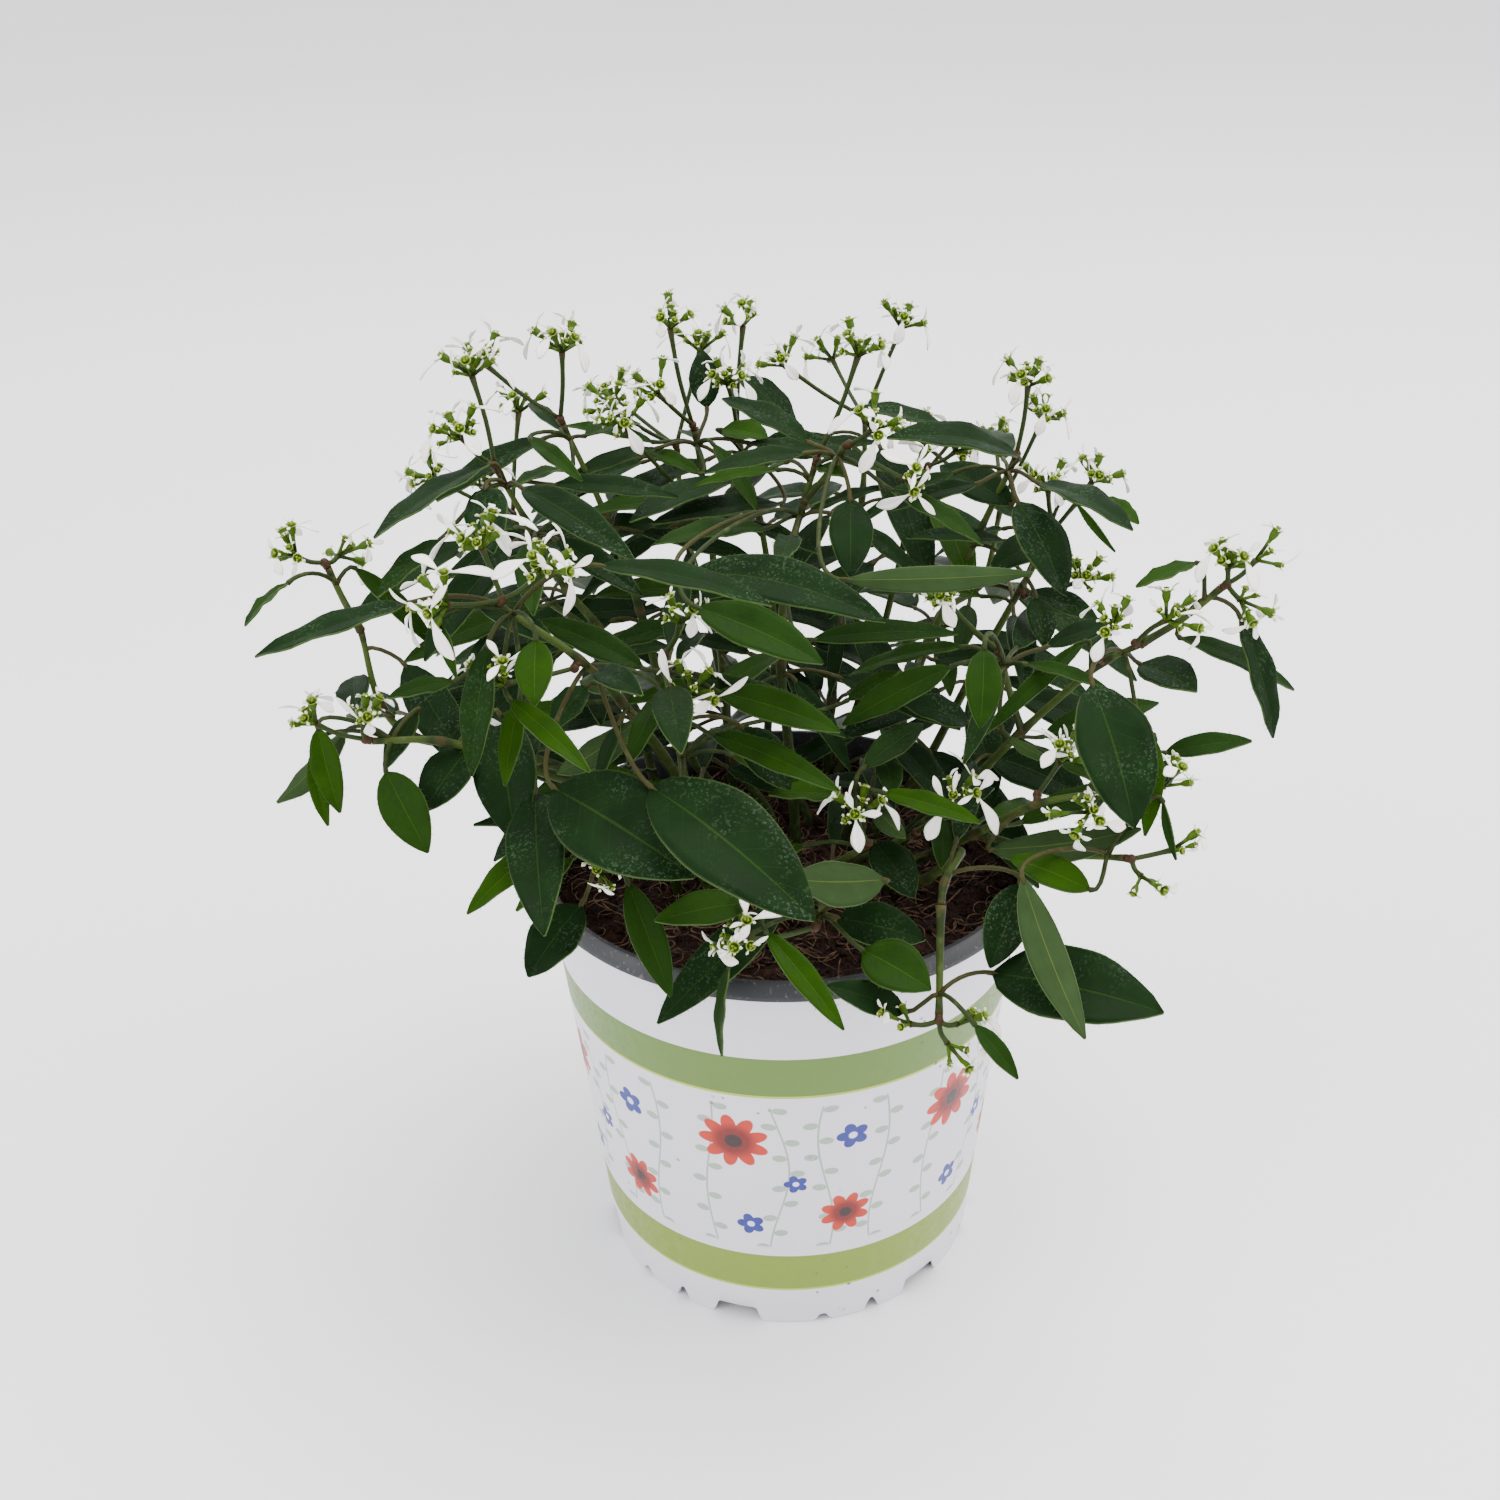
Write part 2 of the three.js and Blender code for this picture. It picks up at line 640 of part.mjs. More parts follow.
for (const { name, turn, reach, top, bare } of FAR_SHOOTS) {
  const outward = (radius, height, swing = 0) => new THREE.Vector3(
    radius * Math.cos(rad(turn + swing)), radius * Math.sin(rad(turn + swing)), height,
  );
  const foot = outward(38, 0);
  shoots.push({
    name,
    bare,
    foot: [foot.x, foot.y],
    stem: [outward(42, 128), outward(56, 152), outward(72, top - 22), outward(reach - 18, top - 4)],
    sprays: [
      {
        from: 3,
        heads: [
          { at: outward(reach - 14, top + 20, -6), cups: 4, bract: 7 },
          { at: outward(reach - 4, top + 8, 8), cups: 3, bract: 8 },
          { at: outward(reach - 24, top + 12, 16), cups: 3, bract: 7 },
        ],
      },
    ],
    leaves: [],
  });
}

function spot(where) {
  return Array.isArray(where) ? seen(where) : where.clone();
}

// A stem rises straight out of the soil, then leans to its joints

function buildStem(shoot) {
  const node = `stem_${shoot.name}`;
  const [x, y] = shoot.foot;
  const joints = shoot.stem.map(spot);
  const path = [
    new THREE.Vector3(x, y, SOIL_TOP - STEM_DEPTH),
    new THREE.Vector3(x, y, SOIL_TOP + 2),
    ...joints,
  ];
  const curve = new THREE.CatmullRomCurve3(path, false, "centripetal");
  const steps = path.length - 1;
  const tube = stalk(curve, STEM_RADIUS, STEM_TIP_RADIUS, 4, steps);
  place(node, tube);
  shoot.joints = joints.map((point, index) => {
    const share = (index + 2) / (path.length - 1);
    const along = curve.getTangent(share);
    const thick = STEM_RADIUS + (STEM_TIP_RADIUS - STEM_RADIUS) * share;
    const below = path[index + 1].clone().sub(point).setLength(BUD_BELOW);
    return { node, point, bud: point.clone().add(below), along, thick, leaves: 0 };
  });
  for (const spray of shoot.sprays.filter(({ fork }) => fork)) buildBranch(shoot, spray);
}

// A side branch ends in a joint of its own, which carries the spray
function buildBranch(shoot, spray) {
  const { node, point: start } = shoot.joints[spray.from];
  const end = spot(spray.fork);
  const along = end.clone().sub(start).normalize();
  const bud = end.clone().addScaledVector(along, -BUD_BELOW);
  place(node, stalk(straight(start, end), BRANCH_RADIUS, PEDUNCLE_RADIUS, 4, 1));
  spray.seat = shoot.joints.push({ node, point: end, bud, along, thick: PEDUNCLE_RADIUS, leaves: 0 }) - 1;
}

// A head is a small bunch of green cups on short stalks, each with a white petal-like bract

const MOST_CUPS = 4;

function headParts(hub, rise, head, count) {
  const length = head.bract ?? 8;
  const side = new THREE.Vector3(1, 0.3, 0).cross(rise).normalize().applyAxisAngle(rise, rad(61 * count));
  const cups = Math.min(head.cups, MOST_CUPS);
  const clubs = [];
  for (let cup = 0; cup < cups; cup += 1) {
    const lean = cups === 1 ? 0 : rad(32 + 30 * vary(cup * 2 + count));
    const aside = side.clone().applyAxisAngle(rise, rad(30 + 90 * cup + 30 * vary(cup + count)));
    const out = rise.clone().multiplyScalar(Math.cos(lean)).addScaledVector(aside, Math.sin(lean));
    const centre = hub.clone().addScaledVector(out, 4.5 + 2.5 * vary(cup + count));
    const reach = length * (0.8 + 0.35 * vary(cup * 5 + 2));
    const tilt = 0.35 - 0.7 * vary(cup + count * 2);
    const bare = cups > 3 && cup === count % 4;
    clubs.push({ cup, centre, out, aside, reach, tilt, bare });
  }
  return { hub, rise, side, clubs };
}

function clubRoom({ centre, out }, hub) {
  const start = hub.clone().addScaledVector(out, 1.2);
  const end = centre.clone().addScaledVector(out, CUP_HEIGHT / 2);
  return stalk(straight(start, end), PEDICEL_RADIUS + GAP, CUP_RADIUS + GAP, 4, 1);
}

function bractWay({ out, aside, tilt }) {
  return flatTo(out, aside).addScaledVector(out, tilt).normalize();
}

function bractRoom(club) {
  const end = club.centre.clone().addScaledVector(bractWay(club), club.reach + GAP);
  return stalk(straight(club.centre, end), CUP_RADIUS, bractWidth(club) / 2, 4, 1);
}

function bractWidth({ reach }) {
  return 2.4 + reach * 0.16;
}

// A head and its stalk are one faceted star: a small square pyramid on a square stalk, whose upper faces
// are drawn out into the cups, and a face of each cup into its bract
function headSolid(start, { hub, rise, side, clubs }) {
  const second = rise.clone().cross(side);
  const axis = hub.clone().sub(start).normalize();
  const round = [side, second, side.clone().negate(), second.clone().negate()];
  const corners = [
    ...[rise, ...round].map((way) => hub.clone().addScaledVector(way, HUB_RADIUS)),
    ...round.map((way) => start.clone().addScaledVector(flatTo(axis, way), PEDUNCLE_RADIUS)),
  ];
  const triangles = [[5, 8, 7], [5, 7, 6]];
  const add = (point) => corners.push(point) - 1;
  const draw = (face, next) => face.forEach((corner, i) => {
    const j = (i + 1) % 3;
    triangles.push([corner, face[j], next[j]], [corner, next[j], next[i]]);
  });
  const close = (face, point) => face.forEach((corner, i) => {
    triangles.push([corner, face[(i + 1) % 3], point]);
  });
  for (let quarter = 0; quarter < 4; quarter += 1) {
    const left = 1 + quarter;
    const right = 1 + (quarter + 1) % 4;
    const club = clubs.find(({ cup }) => cup === quarter);
    triangles.push([right + 4, right, left], [right + 4, left, left + 4]);
    if (!club) {
      triangles.push([0, left, right]);
      continue;
    }
    const face = [0, left, right];
    const middle = middleOf(face.map((corner) => corners[corner]));
    const ring = face.map((corner) => {
      const aside = flatTo(club.out, corners[corner].clone().sub(middle));
      return add(club.centre.clone().addScaledVector(aside, CUP_RADIUS));
    });
    draw(face, ring);
    const top = add(club.centre.clone().addScaledVector(club.out, CUP_HEIGHT / 2));
    triangles.push([ring[2], ring[0], top], [ring[0], ring[1], top]);
    const lip = [ring[1], ring[2], top];
    if (club.bare) {
      triangles.push(lip);
      continue;
    }
    const way = bractWay(club);
    const sideways = flatTo(way, corners[ring[1]].clone().sub(corners[ring[2]]));
    const upper = way.clone().cross(sideways);
    if (upper.dot(club.out) < 0) upper.negate();
    const widest = club.centre.clone().addScaledVector(way, club.reach * 0.65);
    const half = bractWidth(club) / 2;
    const edge = [
      add(widest.clone().addScaledVector(sideways, half)),
      add(widest.clone().addScaledVector(sideways, -half)),
      add(widest.clone().addScaledVector(upper, BRACT_THICKNESS)),
    ];
    draw(lip, edge);
    close(edge, add(club.centre.clone().addScaledVector(way, club.reach)));
  }
  const star = new THREE.BufferGeometry().setFromPoints(corners);
  star.setIndex(triangles.flat());
  return solidOf(star);
}

function indexed(geometry) {
  geometry.deleteAttribute("normal");
  geometry.deleteAttribute("uv");
  return mergeVertices(geometry, 1e-4);
}

function knobAt(centre, radius) {
  const knob = new THREE.OctahedronGeometry(radius, 0).translate(centre.x, centre.y, centre.z);
  return solidOf(indexed(knob));
}

let headCount = 0;

// A spray is seated on its joint by a knob, from which the stalks of its heads fan out
function buildSpray(shoot, spray, number) {
  const node = `spray_${shoot.name}_${number}`;
  const joint = shoot.joints[spray.seat ?? spray.from];
  const atEnd = spray.fork || (spray.from === shoot.stem.length - 1 && number === 1);
  const hubs = spray.heads.map((head) => spot(head.at));
  const aim = middleOf(hubs).sub(joint.point).normalize();
  const off = atEnd ? aim.add(joint.along).normalize() : flatTo(joint.along, aim);
  const seat = KNOB_RADIUS + GAP + (atEnd ? 0 : joint.thick);
  const knob = joint.point.clone().addScaledVector(off, seat);
  place(node, knobAt(knob, KNOB_RADIUS));
  spray.heads.forEach((head, index) => {
    headCount += 1;
    const hub = hubs[index];
    const rise = hub.clone().sub(knob).normalize().addScaledVector(UP, 0.6).normalize();
    const star = headParts(hub, rise, head, headCount);
    star.clubs = star.clubs.filter((club) => isClear(clubRoom(club, hub), elsewhere(node)));
    for (const club of star.clubs) club.bare ||= !isClear(bractRoom(club), elsewhere(node));
    place(node, headSolid(knob, star));
  });
}

// A leaf hangs its blade on a bent stalk from the nearest joint

const FACING = new THREE.Vector3(0, -0.45, 0.9);

function facingOf(base, tip, leaf) {
  const outward = new THREE.Vector3(tip.x, tip.y, 0).normalize();
  const axis = tip.clone().sub(base).normalize();
  const facing = FACING.clone().addScaledVector(outward, 0.2);
  facing.addScaledVector(axis, -facing.dot(axis)).normalize();
  facing.applyAxisAngle(axis, rad(leaf.roll ?? 0));
  return leaf.under ? facing.negate() : facing;
}

// A leaf in rows: its stalk out of the joint, then its blade, which may also be had alone
function leafSolid(leaf, base, tip, joint, extra, alone = false) {
  const axis = tip.clone().sub(base).normalize();
  const length = base.distanceTo(tip);
  const reach = joint.bud.distanceTo(base);
  const face = facingOf(base, tip, leaf);
  const leaving = base.clone().sub(joint.bud).normalize().multiplyScalar(0.5).addScaledVector(UP, 0.5);
  const petiole = new THREE.CubicBezierCurve3(
    joint.bud,
    joint.bud.clone().addScaledVector(leaving, reach * 0.45),
    base.clone().addScaledVector(axis, -reach * 0.3),
    base,
  );
  const arch = leaf.arch ?? length * 0.06;
  const crown = base.clone().lerp(tip, 0.5).addScaledVector(face, arch * 2);
  const rib = new THREE.QuadraticBezierCurve3(base, crown, tip);
  const radius = PETIOLE_RADIUS + extra / 2;
  const stalkRows = (reach > 24 ? [0, 0.35, 0.7, 1] : reach > 11 ? [0, 0.5, 1] : [0, 1]).map((along) => {
    const tangent = petiole.getTangent(along);
    return { point: petiole.getPoint(along), tangent, face, half: radius, thick: radius, lift: 0 };
  });
  const shares = length > 42 ? [0.18, 0.42, 0.72, 1] : length > 17 ? [0.25, 0.65, 1] : [0.45, 1];
  const bladeRows = shares.map((along) => {
    const half = bladeHalf(along, leaf.width + extra);
    return {
      point: rib.getPoint(along),
      tangent: rib.getTangent(along),
      face,
      half: along === 1 ? 0 : half,
      thick: along === 1 ? 0 : (BLADE_THICKNESS + extra) / 2,
      lift: along === 1 ? 0 : FOLD * half,
    };
  });
  return strip(alone ? bladeRows : [...stalkRows, ...bladeRows]);
}

function nearestJoint(shoot, base) {
  const far = shoot.joints.map((joint) => Math.abs(joint.bud.distanceTo(base) - 6));
  return shoot.joints[far.indexOf(Math.min(...far))];
}

const NUDGES = [0, 4, -4, 8, -8, 12, -12, 16, -16];

// A leaf keeps clear of every other shoot, and its blade of the other leaves of its own
function hasRoom(leaf, base, tip, joint) {
  const whole = leafSolid(leaf, base, tip, joint, 2 * GAP);
  const blade = leafSolid(leaf, base, tip, joint, 2 * GAP, true);
  const ownLeaves = (other) => other.node === joint.node && other.kind === "leaf";
  return isClear(whole, elsewhere(joint.node)) && isClear(blade, ownLeaves);
}

// A leaf is moved a little along the line of sight until it is clear
function buildLeaf(shoot, leaf) {
  for (const nudge of NUDGES) {
    const moved = ([column, row, behind]) => seen([column, row, behind + nudge]);
    const base = moved(leaf.base);
    const tip = moved(leaf.tip);
    const joint = nearestJoint(shoot, base);
    if (hasRoom(leaf, base, tip, joint)) {
      place(joint.node, leafSolid(leaf, base, tip, joint, 0), "leaf");
      joint.leaves += 1;
      return;
    }
  }
}

// Leaves that fill in at every joint but the bare ones, swung round it until one is clear
const SWINGS = [0, 40, -40, 80, -80, 120, -120, 160];

function fillJoint(joint, count) {
  const outward = Math.atan2(joint.point.y, joint.point.x);
  const side = count % 2 === 0 ? 1 : -1;
  const length = 30 + 18 * vary(count);
  for (const swing of SWINGS) {
    const turn = outward + side * rad(65 + swing);
    const flat = new THREE.Vector3(Math.cos(turn), Math.sin(turn), 0);
    const base = joint.bud.clone().addScaledVector(flat, 9 + 5 * vary(count + 3)).addScaledVector(UP, 1);
    const droop = -0.15 - 0.6 * vary(count + 7);
    const tip = base.clone().addScaledVector(flat.clone().addScaledVector(UP, droop).normalize(), length);
    const inside = Math.abs(tip.x) < REACH.x && Math.abs(tip.y) < REACH.y && tip.z > REACH.floor;
    const leaf = { width: length * 0.28 };
    if (inside && hasRoom(leaf, base, tip, joint)) {
      place(joint.node, leafSolid(leaf, base, tip, joint, 0), "leaf");
      return;
    }
  }
}

// Growing the plant: stems first, then flowers, then the leaves round them

place("pot", buildPot());
let soil = buildSoil();
shoots.forEach(buildStem);
for (const { foot } of shoots) soil = soil.subtract(stemHole(foot));
place("soil", soil);
for (const shoot of shoots) shoot.sprays.forEach((spray, index) => buildSpray(shoot, spray, index + 1));
for (const shoot of shoots) shoot.leaves.forEach((leaf) => buildLeaf(shoot, leaf));
let fillCount = 0;
for (const shoot of shoots) {
  const unseen = shoot.leaves.length === 0;
  const bare = (shoot.bare ?? []).map((index) => shoot.joints[index]);
  for (const joint of shoot.joints.slice(unseen ? 0 : 1)) {
    for (let missing = (unseen ? 2 : 1) - joint.leaves; missing > 0; missing -= 1) {
      fillCount += 1;
      if (!bare.includes(joint)) fillJoint(joint, fillCount);
    }
  }
}

// One mesh for each node

const MATERIALS = {
  pot: new THREE.MeshStandardMaterial({ color: 0xe4e3e6, roughness: 0.45, metalness: 0 }),
  soil: new THREE.MeshStandardMaterial({ color: 0x3a2a24, roughness: 0.95, metalness: 0 }),
  stem: new THREE.MeshStandardMaterial({ color: 0x2c5434, roughness: 0.6, metalness: 0 }),
  spray: new THREE.MeshStandardMaterial({ color: 0xdfe8c8, roughness: 0.6, metalness: 0 }),
};

function meshOf(name, bodies) {
  const whole = bodies.length > 1 ? wasm.Manifold.union(bodies) : bodies[0];
  const pieces = whole.decompose().sort((a, b) => b.volume() - a.volume());
  const { vertProperties, triVerts } = pieces[0].getMesh();
  const geometry = new THREE.BufferGeometry();
  geometry.setAttribute("position", new THREE.BufferAttribute(vertProperties, 3));
  geometry.setIndex(new THREE.BufferAttribute(triVerts, 1));
  geometry.computeVertexNormals();
  const mesh = new THREE.Mesh(geometry, MATERIALS[name.split("_")[0]]);
  mesh.name = name;
  return mesh;
}

const plant = new THREE.Group();
for (const [name, bodies] of nodes) plant.add(meshOf(name, bodies));

export default plant;
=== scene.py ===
# Potted euphorbia: a printed nursery pot, its soil, leafy shoots and sprays of small white flowers.
# Metres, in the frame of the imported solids: +Z up, and -Y towards the viewer.

import math
import random
from types import SimpleNamespace

import bmesh
import bpy
from mathutils import Matrix, Quaternion, Vector, noise
from mathutils.bvhtree import BVHTree


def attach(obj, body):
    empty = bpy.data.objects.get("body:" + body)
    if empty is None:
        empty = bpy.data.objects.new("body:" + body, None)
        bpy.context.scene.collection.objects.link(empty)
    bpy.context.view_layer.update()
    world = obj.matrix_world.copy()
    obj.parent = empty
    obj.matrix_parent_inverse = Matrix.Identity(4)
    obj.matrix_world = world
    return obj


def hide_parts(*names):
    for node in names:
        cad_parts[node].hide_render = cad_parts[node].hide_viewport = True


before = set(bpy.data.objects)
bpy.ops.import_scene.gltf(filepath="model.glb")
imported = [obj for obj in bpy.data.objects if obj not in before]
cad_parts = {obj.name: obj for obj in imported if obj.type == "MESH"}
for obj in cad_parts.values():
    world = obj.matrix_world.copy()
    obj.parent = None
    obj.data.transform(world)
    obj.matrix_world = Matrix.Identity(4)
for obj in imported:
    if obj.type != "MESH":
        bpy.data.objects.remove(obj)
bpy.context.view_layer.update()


# The viewpoint
# The camera stands in front of the pot and above it, where the photograph was taken from.
# The photograph's columns and rows are used further on to place the shoots on their lines of sight.

MM = 0.001
PHOTO_SIZE = 1500
PHOTO_CENTRE = PHOTO_SIZE / 2
LENS_PIXELS = 1717
SENSOR = 36
EYE = Vector((-3.6, -356, 324.6)) * MM
YAW, PITCH, ROLL = -0.67, 27.97, -1.41

yaw, pitch, roll = (math.radians(angle) for angle in (YAW, PITCH, ROLL))
forward = Vector((math.sin(yaw) * math.cos(pitch), math.cos(yaw) * math.cos(pitch), -math.sin(pitch)))
level = Vector((math.cos(yaw), -math.sin(yaw), 0))
upright = level.cross(forward)
sight_right = level * math.cos(roll) + upright * math.sin(roll)
sight_up = upright * math.cos(roll) - level * math.sin(roll)

lens = bpy.data.cameras.new("camera")
lens.sensor_width = SENSOR
lens.lens = SENSOR * LENS_PIXELS / PHOTO_SIZE
camera = bpy.data.objects.new("camera", lens)
turned = Matrix((sight_right, sight_up, -forward)).transposed().to_4x4()
camera.matrix_world = Matrix.Translation(EYE) @ turned
bpy.context.collection.objects.link(camera)
bpy.context.scene.camera = camera


# The floor and the light
# The plant stands on a wide sheet of matt white card, under a large soft light overhead and a
# weaker one at each side.

FLOOR_REACH = 9.0


class Field:
    """A number or colour that varies over a surface: one output of a node, with arithmetic"""

    def __init__(self, tree, kind, settings=None, values=None, output=0):
        node = tree.nodes.new(kind)
        for name, setting in (settings or {}).items():
            setattr(node, name, setting)
        for name, value in (values or {}).items():
            if isinstance(value, Field):
                tree.links.new(value.socket, node.inputs[name])
            else:
                node.inputs[name].default_value = value
        self.tree = tree
        self.socket = node.outputs[output]

    def maths(self, operation, other=0.0, flipped=False):
        first, second = (other, self) if flipped else (self, other)
        return Field(self.tree, "ShaderNodeMath", {"operation": operation}, {0: first, 1: second})

    def __add__(self, other):
        return self.maths("ADD", other)

    def __sub__(self, other):
        return self.maths("SUBTRACT", other)

    def __rsub__(self, other):
        return self.maths("SUBTRACT", other, flipped=True)

    def __mul__(self, other):
        return self.maths("MULTIPLY", other)

    def __truediv__(self, other):
        return self.maths("DIVIDE", other)

    def __rtruediv__(self, other):
        return self.maths("DIVIDE", other, flipped=True)

    def __abs__(self):
        return self.maths("ABSOLUTE")

    __radd__ = __add__
    __rmul__ = __mul__

    def most(self, other):
        return self.maths("MAXIMUM", other)

    def floor(self):
        return self.maths("FLOOR")

    def wave(self):
        return self.maths("SINE")

    def rise(self, low, high, start=0.0, end=1.0):
        """Goes smoothly from start to end as this goes from low to high"""
        limits = {"Value": self, "From Min": low, "From Max": high, "To Min": start, "To Max": end}
        return Field(self.tree, "ShaderNodeMapRange", {"interpolation_type": "SMOOTHSTEP"}, limits)


def colour(red, green, blue):
    """A colour as it shows on a screen, each part from 0 to 255"""
    parts = [part / 255 for part in (red, green, blue)]
    return (*[part / 12.92 if part < 0.04 else ((part + 0.055) / 1.055) ** 2.4 for part in parts], 1)


def blended(factor, first, second):
    """The first colour where the factor is 0, and the second where it is 1"""
    values = {0: factor, 6: first, 7: second}
    return Field(factor.tree, "ShaderNodeMix", {"data_type": "RGBA"}, values, output=2)


def places(tree):
    """Where each point of the surface lies, in metres"""
    return Field(tree, "ShaderNodeTexCoord", output="Object")


def cloudy(tree, scale, detail=2.0):
    """Soft patches at random, about one scaleth of a metre across"""
    return Field(tree, "ShaderNodeTexNoise", {}, {"Vector": places(tree), "Scale": scale, "Detail": detail})


def bumps(height, depth, strength):
    """Small unevenness, as deep as said where the height is 1"""
    return Field(height.tree, "ShaderNodeBump", {}, {"Height": height, "Distance": depth, "Strength": strength})


def finish(name, painted, **even):
    """A finish whose sockets are fed by fields where it varies, and hold one value where it is even"""
    made = bpy.data.materials.new(name)
    made.use_nodes = True
    tree = made.node_tree
    shader = tree.nodes["Principled BSDF"]
    for socket, value in even.items():
        shader.inputs[socket.replace("_", " ")].default_value = value
    for socket, field in painted(tree).items():
        tree.links.new(field.socket, shader.inputs[socket])
    return made


def card_paint(tree):
    tint = cloudy(tree, 3.0)
    return {"Base Color": blended(tint, colour(232, 232, 236), colour(237, 237, 239))}


card_sheet = bmesh.new()
bmesh.ops.create_grid(card_sheet, x_segments=1, y_segments=1, size=FLOOR_REACH)
card_mesh = bpy.data.meshes.new("card")
card_sheet.to_mesh(card_mesh)
card_sheet.free()
card_mesh.materials.append(finish("card", card_paint, Roughness=0.85, Specular_IOR_Level=0.15))
card = bpy.data.objects.new("card", card_mesh)
bpy.context.collection.objects.link(card)


# Each light's name, place, size across, power in watts and tint
LIGHTS = [
    ("overhead", Vector((0.35, 0.25, 1.9)), 1.6, 46.0, (1.0, 0.99, 0.97)),
    ("left_side", Vector((-1.5, -0.7, 1.1)), 1.2, 18.0, (0.96, 0.98, 1.0)),
    ("right_side", Vector((1.6, -0.3, 1.2)), 1.2, 18.0, (1.0, 0.98, 0.95)),
]
LIT_SPOT = Vector((0, 0, 0.12))
ROOM_STRENGTH = 2.1

for name, place, size, power, tint in LIGHTS:
    light = bpy.data.lights.new(name, "AREA")
    light.shape = "DISK"
    light.size = size
    light.energy = power
    light.color = tint
    lamp = bpy.data.objects.new(name, light)
    facing = (LIT_SPOT - place).to_track_quat("-Z", "Y").to_matrix().to_4x4()
    lamp.matrix_world = Matrix.Translation(place) @ facing
    bpy.context.collection.objects.link(lamp)

room = bpy.data.worlds.new("room")
room.use_nodes = True
background = room.node_tree.nodes["Background"]
background.inputs["Color"].default_value = colour(246, 246, 248)
background.inputs["Strength"].default_value = ROOM_STRENGTH
bpy.context.scene.world = room


# The pot
# A thin tapered nursery pot, moulded in white plastic with a printed outside, and dark grey plastic
# inside and round its sloped collar. Its wall runs down past the floor as a foot ring with notches.

RIM_RADIUS = 60 * MM
POT_HEIGHT = 110.5 * MM
LIP_BOTTOM = 106.5 * MM
LIP_TOP_RADIUS = 58.4 * MM
WALL_TOP_RADIUS = 57.8 * MM
FOOT_RADIUS = 47.2 * MM
WALL = 1.3 * MM
FLOOR_HEIGHT = 4.5 * MM
FLOOR_THICKNESS = 1.5 * MM
DRAIN_HOLE_RADIUS = 4 * MM
DRAIN_HOLE_RING = 26 * MM
DRAIN_HOLES = 6
POT_STEPS = 360
# The notches in each sixth of the foot: angle from the front, width and height, and how far each side slants
NOTCHES = [(-17, 15, 4), (9, 5, 2), (24.5, 5, 3.5)]
NOTCH_SIXTH = 60
NOTCH_SLANT = 1.6
PRINT_SKIN = 0.9 * MM
SHARP_EDGE = math.radians(35)


def piece(name, shape, finishes, node):
    """A finished piece, which stands for a solid or a part of it"""
    mesh = bpy.data.meshes.new(name)
    shape.normal_update()
    shape.to_mesh(mesh)
    shape.free()
    mesh.shade_smooth()
    for look in finishes:
        mesh.materials.append(look)
    made = bpy.data.objects.new(name, mesh)
    bpy.context.collection.objects.link(made)
    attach(made, "root")
    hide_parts(node)
    return made


def foot_lift(angle):
    """How far a notch lifts the foot's edge off the surface, at an angle from the front"""
    turn = (math.degrees(angle) + NOTCH_SIXTH / 2) % NOTCH_SIXTH - NOTCH_SIXTH / 2
    lift = 0
    for at, wide, high in NOTCHES:
        off = min(abs(turn - at + lap) for lap in (-NOTCH_SIXTH, 0, NOTCH_SIXTH))
        depth = (wide / 2 - off) / NOTCH_SLANT
        lift = max(lift, min(max(depth, 0), 1) * high * MM)
    return lift


pot_outline = [
    (FOOT_RADIUS - 2.2 * MM, FLOOR_HEIGHT),
    (FOOT_RADIUS - 1.5 * MM, 0.3 * MM),
    (FOOT_RADIUS - 1.2 * MM, 0),
    (FOOT_RADIUS - 0.3 * MM, 0),
    (FOOT_RADIUS, 0.3 * MM),
    (FOOT_RADIUS + 0.9 * MM, 9 * MM),
    (FOOT_RADIUS + 5.1 * MM, 52 * MM),
    (WALL_TOP_RADIUS, LIP_BOTTOM),
    (RIM_RADIUS - 0.3 * MM, LIP_BOTTOM),
    (RIM_RADIUS, LIP_BOTTOM + 0.3 * MM),
    (RIM_RADIUS, LIP_BOTTOM + 1.1 * MM),
    (RIM_RADIUS - 0.2 * MM, LIP_BOTTOM + 1.5 * MM),
    (LIP_TOP_RADIUS + 0.3 * MM, POT_HEIGHT - 0.4 * MM),
    (LIP_TOP_RADIUS - 0.2 * MM, POT_HEIGHT),
    (LIP_TOP_RADIUS - WALL + 0.2 * MM, POT_HEIGHT),
    (LIP_TOP_RADIUS - WALL - 0.2 * MM, POT_HEIGHT - 0.5 * MM),
    (WALL_TOP_RADIUS - WALL, LIP_BOTTOM - 1 * MM),
    (FOOT_RADIUS - WALL + 0.6 * MM, FLOOR_HEIGHT + FLOOR_THICKNESS),
]
pot = bmesh.new()
outline = [pot.verts.new((0, -radius, height)) for radius, height in pot_outline]
edges = [pot.edges.new(pair) for pair in zip(outline, outline[1:])]
bmesh.ops.spin(
    pot, geom=outline + edges, cent=(0, 0, 0), axis=(0, 0, 1), angle=math.tau, steps=POT_STEPS, use_merge=True,
)
# The floor's two faces are filled in between the wall and the drain holes, which are then joined through it
drains = [[] for _ in range(DRAIN_HOLES)]
for end in (FLOOR_HEIGHT, FLOOR_HEIGHT + FLOOR_THICKNESS):
    rims = [edge for edge in pot.edges if edge.is_boundary and abs(edge.verts[0].co.z - end) < 0.1 * MM]
    for count, drain in enumerate(drains):
        turn = Matrix.Rotation(math.tau * count / DRAIN_HOLES, 4, "Z")
        place = turn @ Matrix.Translation((DRAIN_HOLE_RING, 0, end))
        hole = bmesh.ops.create_circle(pot, segments=24, radius=DRAIN_HOLE_RADIUS, matrix=place)["verts"]
        hole_edges = list(dict.fromkeys(edge for vert in hole for edge in vert.link_edges))
        drain += hole_edges
        rims += hole_edges
    bmesh.ops.triangle_fill(pot, use_beauty=True, edges=rims)
for drain in drains:
    bmesh.ops.bridge_loops(pot, edges=drain)
